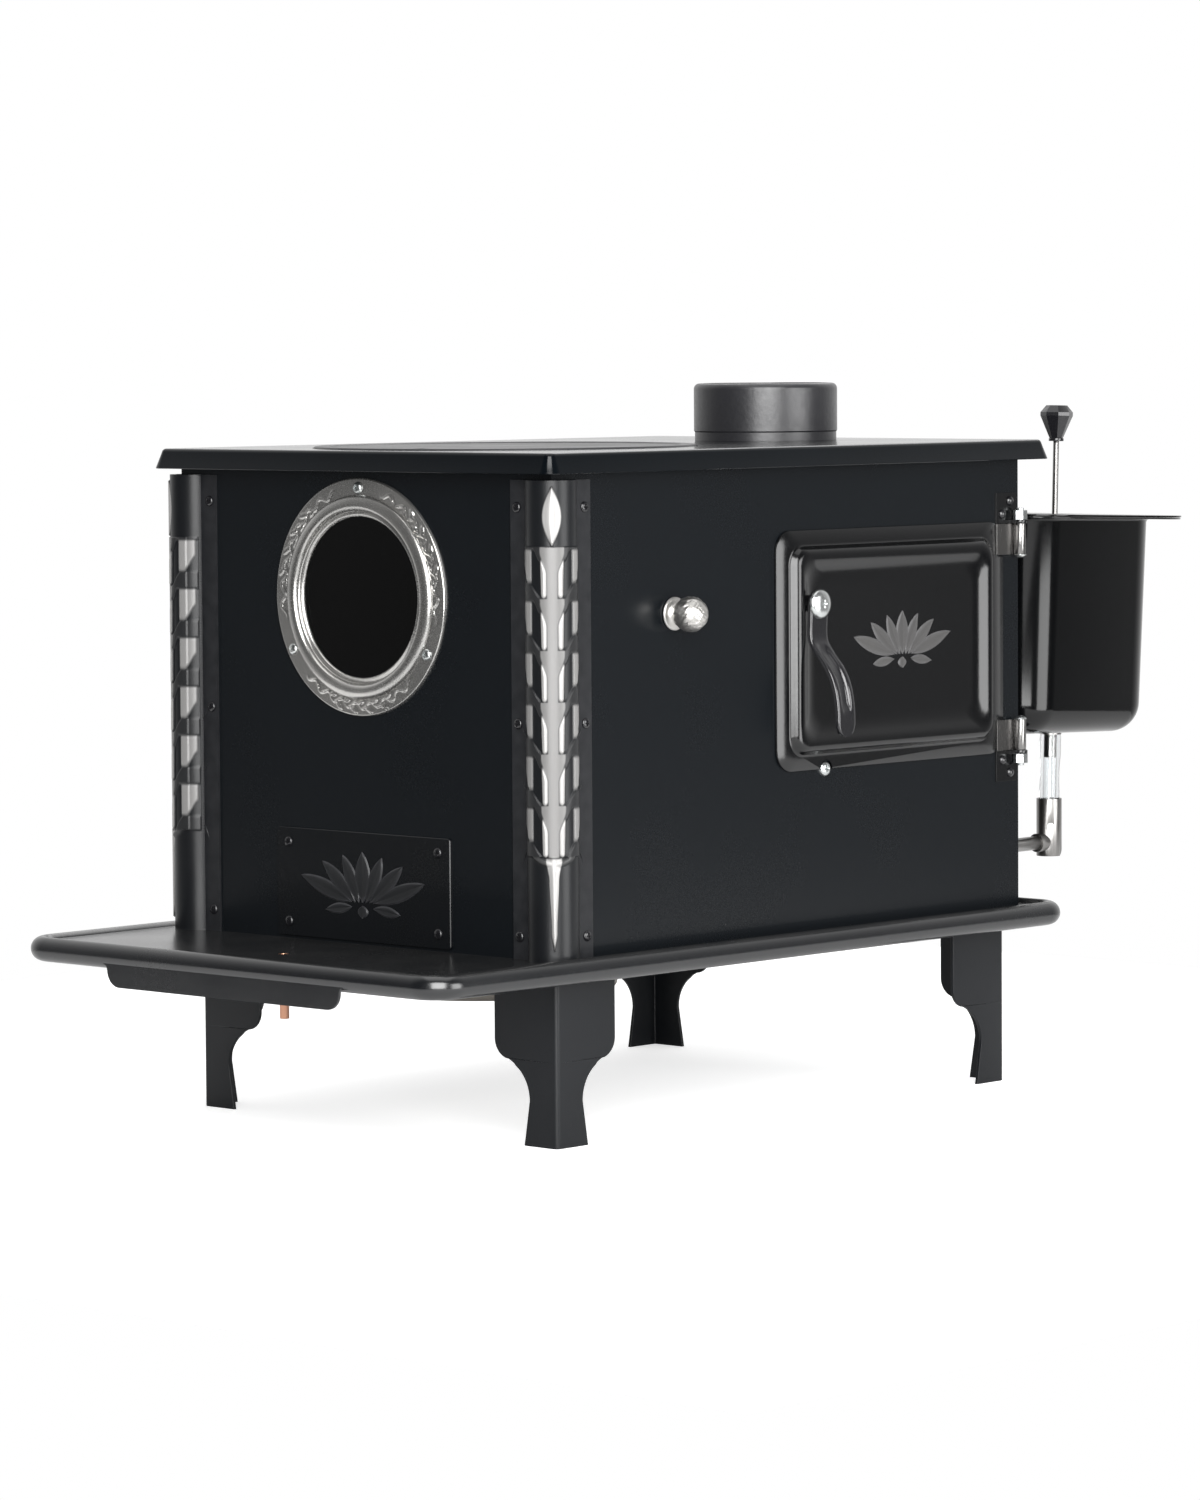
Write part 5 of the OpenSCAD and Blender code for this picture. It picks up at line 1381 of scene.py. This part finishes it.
@dataclass
class Draught:
    """The draught rod with its embossed ball knob."""

    bench: Bench
    on: Places
    spot: Pair = (-148.0, 418.0)
    gap: float = 0.3
    ball_r: float = 14.5
    ball_out: float = 18.0
    base_r: float = 13.5
    neck_r: float = 7.0

    def knob(self) -> None:
        """Makes the knob: flared foot, short neck and a ball with a fine embossed pattern."""
        form = Form()
        profile = [(4.05, 0.0), (self.base_r - 0.6, 0.0), (self.base_r, 0.5), (self.base_r, 1.4),
                   (self.base_r - 0.5, 2.0)]
        profile += arc(self.base_r - 0.4, 8.4, 6.1, -92, -180, 12)[1:]
        start_angle = -math.degrees(math.acos(self.neck_r / self.ball_r))
        first = len(profile)
        profile += arc(0, self.ball_out, self.ball_r - 0.3, start_angle, 90, 72)
        place = self.on.right(*self.spot, self.gap)
        rows = []
        for n, (radius, height) in enumerate(profile):
            row = []
            for j in range(144):
                angle = 2 * math.pi * j / 144
                point = Vector((radius * math.cos(angle), radius * math.sin(angle), height))
                if n > first + 4:
                    point += (point - Vector((0, 0, self.ball_out))).normalized() * self.pattern(point)
                row.append(place @ point)
            rows.append(row)
        form.net(rows, first=True, last=True)
        self.bench.build("ball_knob", form, BALL_METAL, Body.PULL, Slot.BALL, ["draught_knob"], sharp=60)

    def pattern(self, point: Vector) -> float:
        """Gives the emboss of the ball: winding ridges between small pits."""
        p = point / 2.1
        wind = math.sin(p.x * 1.1 + 1.7 * math.sin(p.y)) * math.cos(p.y * 1.0 + 1.5 * math.sin(p.z * 0.9))
        fine = math.sin(p.x * 2.3 + p.z) * math.sin(p.y * 2.1 - p.z * 1.3)
        return 0.32 * smooth(-0.25, 0.25, wind) - 0.12 * fine - 0.1

    def make(self) -> None:
        """Makes the knob and dresses the rod, slide and guide."""
        self.knob()
        self.bench.dress(INNER_STEEL, ["draught_rod", "draught_slide", "draught_guide"])


@dataclass
class FuelSide:
    """The hung tank with its valve, clear hose and pipes, and the burner that they feed."""

    bench: Bench
    on: Places
    size: tuple[float, float, float] = (275.0, 179.0, 36.0)
    middle: Pair = (80.5, 103.0)
    height: float = 188.0
    sheet: float = 1.5
    taper: float = 3.0
    bottom_r: float = 26.0
    rim_w: float = 30.0
    front_cut: float = -0.6
    hose: tuple[float, float, float] = (172.0, 98.5, 9.1)
    hose_bore: float = 5.3
    hose_foot: float = -251.9
    hose_gap: float = 2.05

    def tank(self) -> None:
        """Makes the drawn tank: thin rim, leaning walls and a round bottom edge."""
        h, t, r = self.height, self.sheet, self.bottom_r
        foot = -self.taper - r
        inner = [*arc(foot, r - h, r - t, -90, 0, 12), (-t, -4.0), (-t + 0.6, -1.2), (0.4, -0.1)]
        flange = [(2.0, 0.0), (self.rim_w - 0.4, 0.0), (self.rim_w, -0.4), (self.rim_w, 0.3 - t),
                  (self.rim_w - 0.4, -t), (3.4, -t), (1.2, -t - 0.7), (0.2, -t - 2.6)]
        outer = arc(foot, r - h, r, 0, -90, 14)
        place = self.on.tank(self.middle[0], self.middle[1])
        width, depth, radius = self.size
        rows = []
        for out, up in [*inner, *flange, *outer]:
            row = []
            for x, y in round_rect(width + 2 * out, depth + 2 * out, max(0.0, radius + out), 16):
                row.append(place @ Vector((x, max(y, self.front_cut - self.middle[1]), up)))
            rows.append(row)
        form = Form()
        form.net(rows, first=True, last=True)
        self.bench.build("tank_drawn", form, TANK_ENAMEL, Body.STOVE, Slot.DOOR, ["fuel_tank"], sharp=50)

    def clear_hose(self) -> None:
        """Makes the clear hose, a little wider where it is pushed over the barb."""
        x, y, r = self.hose
        place = self.on.tank(x, y, 0)
        low, high = self.hose_foot, -self.height - self.hose_gap
        steps = 16
        outside, inside = [], []
        for i in range(steps + 1):
            t = i / steps
            z = low + (high - low) * t
            swell = 0.5 * smooth(0.60, 0.72, t) * smooth(1.0, 0.94, t)
            waist = 0.45 * smooth(0.2, 0.4, t) * smooth(0.62, 0.5, t)
            outside.append((r - 0.25 + swell - waist, z))
            inside.append((self.hose_bore, z))
        form = Form()
        form.lathe([*outside, *reversed(inside)], place, steps=48, closed=True)
        hose = self.bench.paint.clear("clear_hose", (0.93, 0.95, 0.96), (0.05, 0.12), 0.5)
        self.bench.build("hose_tube", form, hose, Body.STOVE, Slot.HOSE, ["fuel_hose"], sharp=50)

    def make(self) -> None:
        """Makes the tank and hose and dresses the pipes, valve and burner."""
        self.tank()
        self.clear_hose()
        self.bench.dress(TANK_ENAMEL, ["tank_lid"], edge=0.3)
        self.bench.dress(TRAY_PAINT, ["tank_hanger"], edge=0.3)
        self.bench.dress(ZINC, ["tank_screws", "elbow_screw"], edge=0.2)
        self.bench.dress(PIPE_STEEL, ["feed_pipe", "pipe_elbow", "valve_rod", "outlet_nut"], edge=0.25)
        self.bench.dress(PIPE_STEEL, ["tank_outlet"])
        self.bench.dress(HANDLE_BLACK, ["valve_knob"], edge=0.5)
        self.bench.dress(POT_STEEL, ["burner_pot"])


@dataclass
class Studio:
    """The plain white room: floor, light and the camera at the photograph's angle."""

    eye: tuple[float, float, float] = (3310.9, -3595.54, 639.4)
    azimuth: float = 43.01
    elevation: float = 4.09
    roll: float = -0.39
    lens: float = 138.92
    floor_half: float = 1.05
    bright_way: tuple[float, float, float] = (-0.66, 0.70, 0.28)
    fill: float = 0.55

    def way(self, azimuth: float, elevation: float) -> Vector:
        """Gives the direction from the stove to a lamp or the camera, its angles in degrees."""
        a, e = math.radians(azimuth), math.radians(elevation)
        return Vector((math.sin(a) * math.cos(e), -math.cos(a) * math.cos(e), math.sin(e)))

    def camera(self) -> None:
        """Sets up the camera."""
        a, r = math.radians(self.azimuth), math.radians(self.roll)
        back = self.way(self.azimuth, self.elevation)
        side = Vector((math.cos(a), math.sin(a), 0))
        up = back.cross(side)
        across = side * math.cos(r) + up * math.sin(r)
        above = up * math.cos(r) - side * math.sin(r)
        data = bpy.data.cameras.new("camera")
        data.lens, data.sensor_width, data.sensor_fit = self.lens, 36.0, "AUTO"
        data.clip_start, data.clip_end = 0.1, 60.0
        camera = bpy.data.objects.new("camera", data)
        bpy.context.scene.collection.objects.link(camera)
        turn = Matrix((across, above, back)).transposed().to_4x4()
        camera.matrix_world = Matrix.Translation(Vector(self.eye) * MM) @ turn
        bpy.context.scene.camera = camera

    def lamp(self, name: str, azimuth: float, elevation: float, distance: float, size: Pair, power: float,
             aim: tuple[float, float, float] = (0.0, 0.0, 0.35)) -> None:
        """Hangs one soft box.

        Args:
            name: the lamp's name.
            azimuth: where it hangs round the stove, as the camera's is given, in degrees.
            elevation: how high it hangs, in degrees.
            distance: how far from its aim, in metres.
            size: its width and height, in metres.
            power: its power, in watts.
            aim: the point that it faces.
        """
        data = bpy.data.lights.new(name, "AREA")
        data.shape = "RECTANGLE"
        data.size, data.size_y, data.energy = size[0], size[1], power
        lamp = bpy.data.objects.new(name, data)
        bpy.context.scene.collection.objects.link(lamp)
        back = self.way(azimuth, elevation)
        lamp.location = Vector(aim) + back * distance
        lamp.rotation_euler = back.to_track_quat("Z", "Y").to_euler()

    def world(self) -> None:
        """Makes the room: white where it is seen, dimmer round the camera in what mirrors it."""
        world = bpy.data.worlds.new("room")
        world.use_nodes = True
        bpy.context.scene.world = world
        tree = world.node_tree
        shade = tree.nodes["Background"].inputs
        path = add_node(tree, "LightPath", {}).outputs
        way = add_node(tree, "TexCoord", {}).outputs["Generated"]
        towards = add_node(tree, "VectorMath", {0: way, 1: self.bright_way}, operation="DOT_PRODUCT")
        room = add_node(tree, "MapRange", {
            "Value": towards.outputs["Value"], "From Min": -0.25, "From Max": 0.85, "To Min": 0.05, "To Max": 1.0,
        }, interpolation_type="SMOOTHSTEP")
        mirrored = math_node(tree, "MAXIMUM", path["Is Glossy Ray"], path["Is Transmission Ray"])
        glossy = math_node(tree, "MULTIPLY", room.outputs[0], mirrored)
        seen = math_node(tree, "MAXIMUM", glossy, path["Is Camera Ray"])
        plain = math_node(tree, "MAXIMUM", mirrored, path["Is Camera Ray"])
        fill = math_node(tree, "MULTIPLY", math_node(tree, "SUBTRACT", 1.0, plain), self.fill)
        shade["Color"].default_value = (1, 1, 1, 1)
        tree.links.new(math_node(tree, "ADD", seen, fill), shade["Strength"])

    def floor(self) -> None:
        """Lays the pale floor, which keeps the stove's shadow."""
        half = self.floor_half
        mesh = bpy.data.meshes.new("floor")
        corners = [(-half, -half, 0), (half, -half, 0), (half, half, 0), (-half, half, 0)]
        mesh.from_pydata(corners, [], [(0, 1, 2, 3)])
        floor = bpy.data.objects.new("floor", mesh)
        bpy.context.scene.collection.objects.link(floor)
        material, tree, shader = start_material("pale_floor")
        for name, value in (("Base Color", (0.80, 0.80, 0.80, 1)), ("Emission Color", (1, 1, 1, 1)),
                            ("Roughness", 0.9), ("Specular IOR Level", 0.0)):
            shader.inputs[name].default_value = value
        path = add_node(tree, "LightPath", {}).outputs
        mirrored = math_node(tree, "MULTIPLY", path["Is Glossy Ray"], 0.1)
        seen = math_node(tree, "MAXIMUM", path["Is Camera Ray"], path["Is Transmission Ray"])
        glow = math_node(tree, "MULTIPLY", seen, 0.6)
        tree.links.new(math_node(tree, "MAXIMUM", glow, mirrored), shader.inputs["Emission Strength"])
        mesh.materials.append(material)

    def make(self) -> None:
        """Sets up the whole studio."""
        bpy.context.scene.view_settings.view_transform = "Standard"
        self.camera()
        self.world()
        self.floor()
        self.lamp("key_wall", 45.0, 16.0, 3.4, (2.3, 3.0), 250.0)
        self.lamp("side_wall", 91.0, 1.0, 3.4, (1.9, 2.7), 120.0, aim=(0.05, 0.36, 0.4))
        self.lamp("top_box", 45.0, 82.0, 2.6, (2.4, 2.4), 24.0)
        self.lamp("rear_box", 215.0, 40.0, 3.4, (2.0, 1.4), 18.0)


def main() -> None:
    """Builds the stove's looks piece by piece."""
    logging.basicConfig(level=logging.INFO, format="%(name)s: %(message)s")
    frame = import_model()
    low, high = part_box("hearth_tray")
    shift = Vector((
        (low.x + high.x) / 2 / MM - TRAY_MIDDLE[0],
        (low.y + high.y) / 2 / MM - TRAY_MIDDLE[1],
        0.0,
    ))
    bench = Bench(frame["nodes"], PaintShop(), shift)
    places = Places()
    for assembly in (Hearth, Casing, Window, FireDoor, Draught, FuelSide):
        LOG.info("making %s", assembly.__name__)
        assembly(bench, places).make()
    Studio().make()


if __name__ == "__main__":
    main()
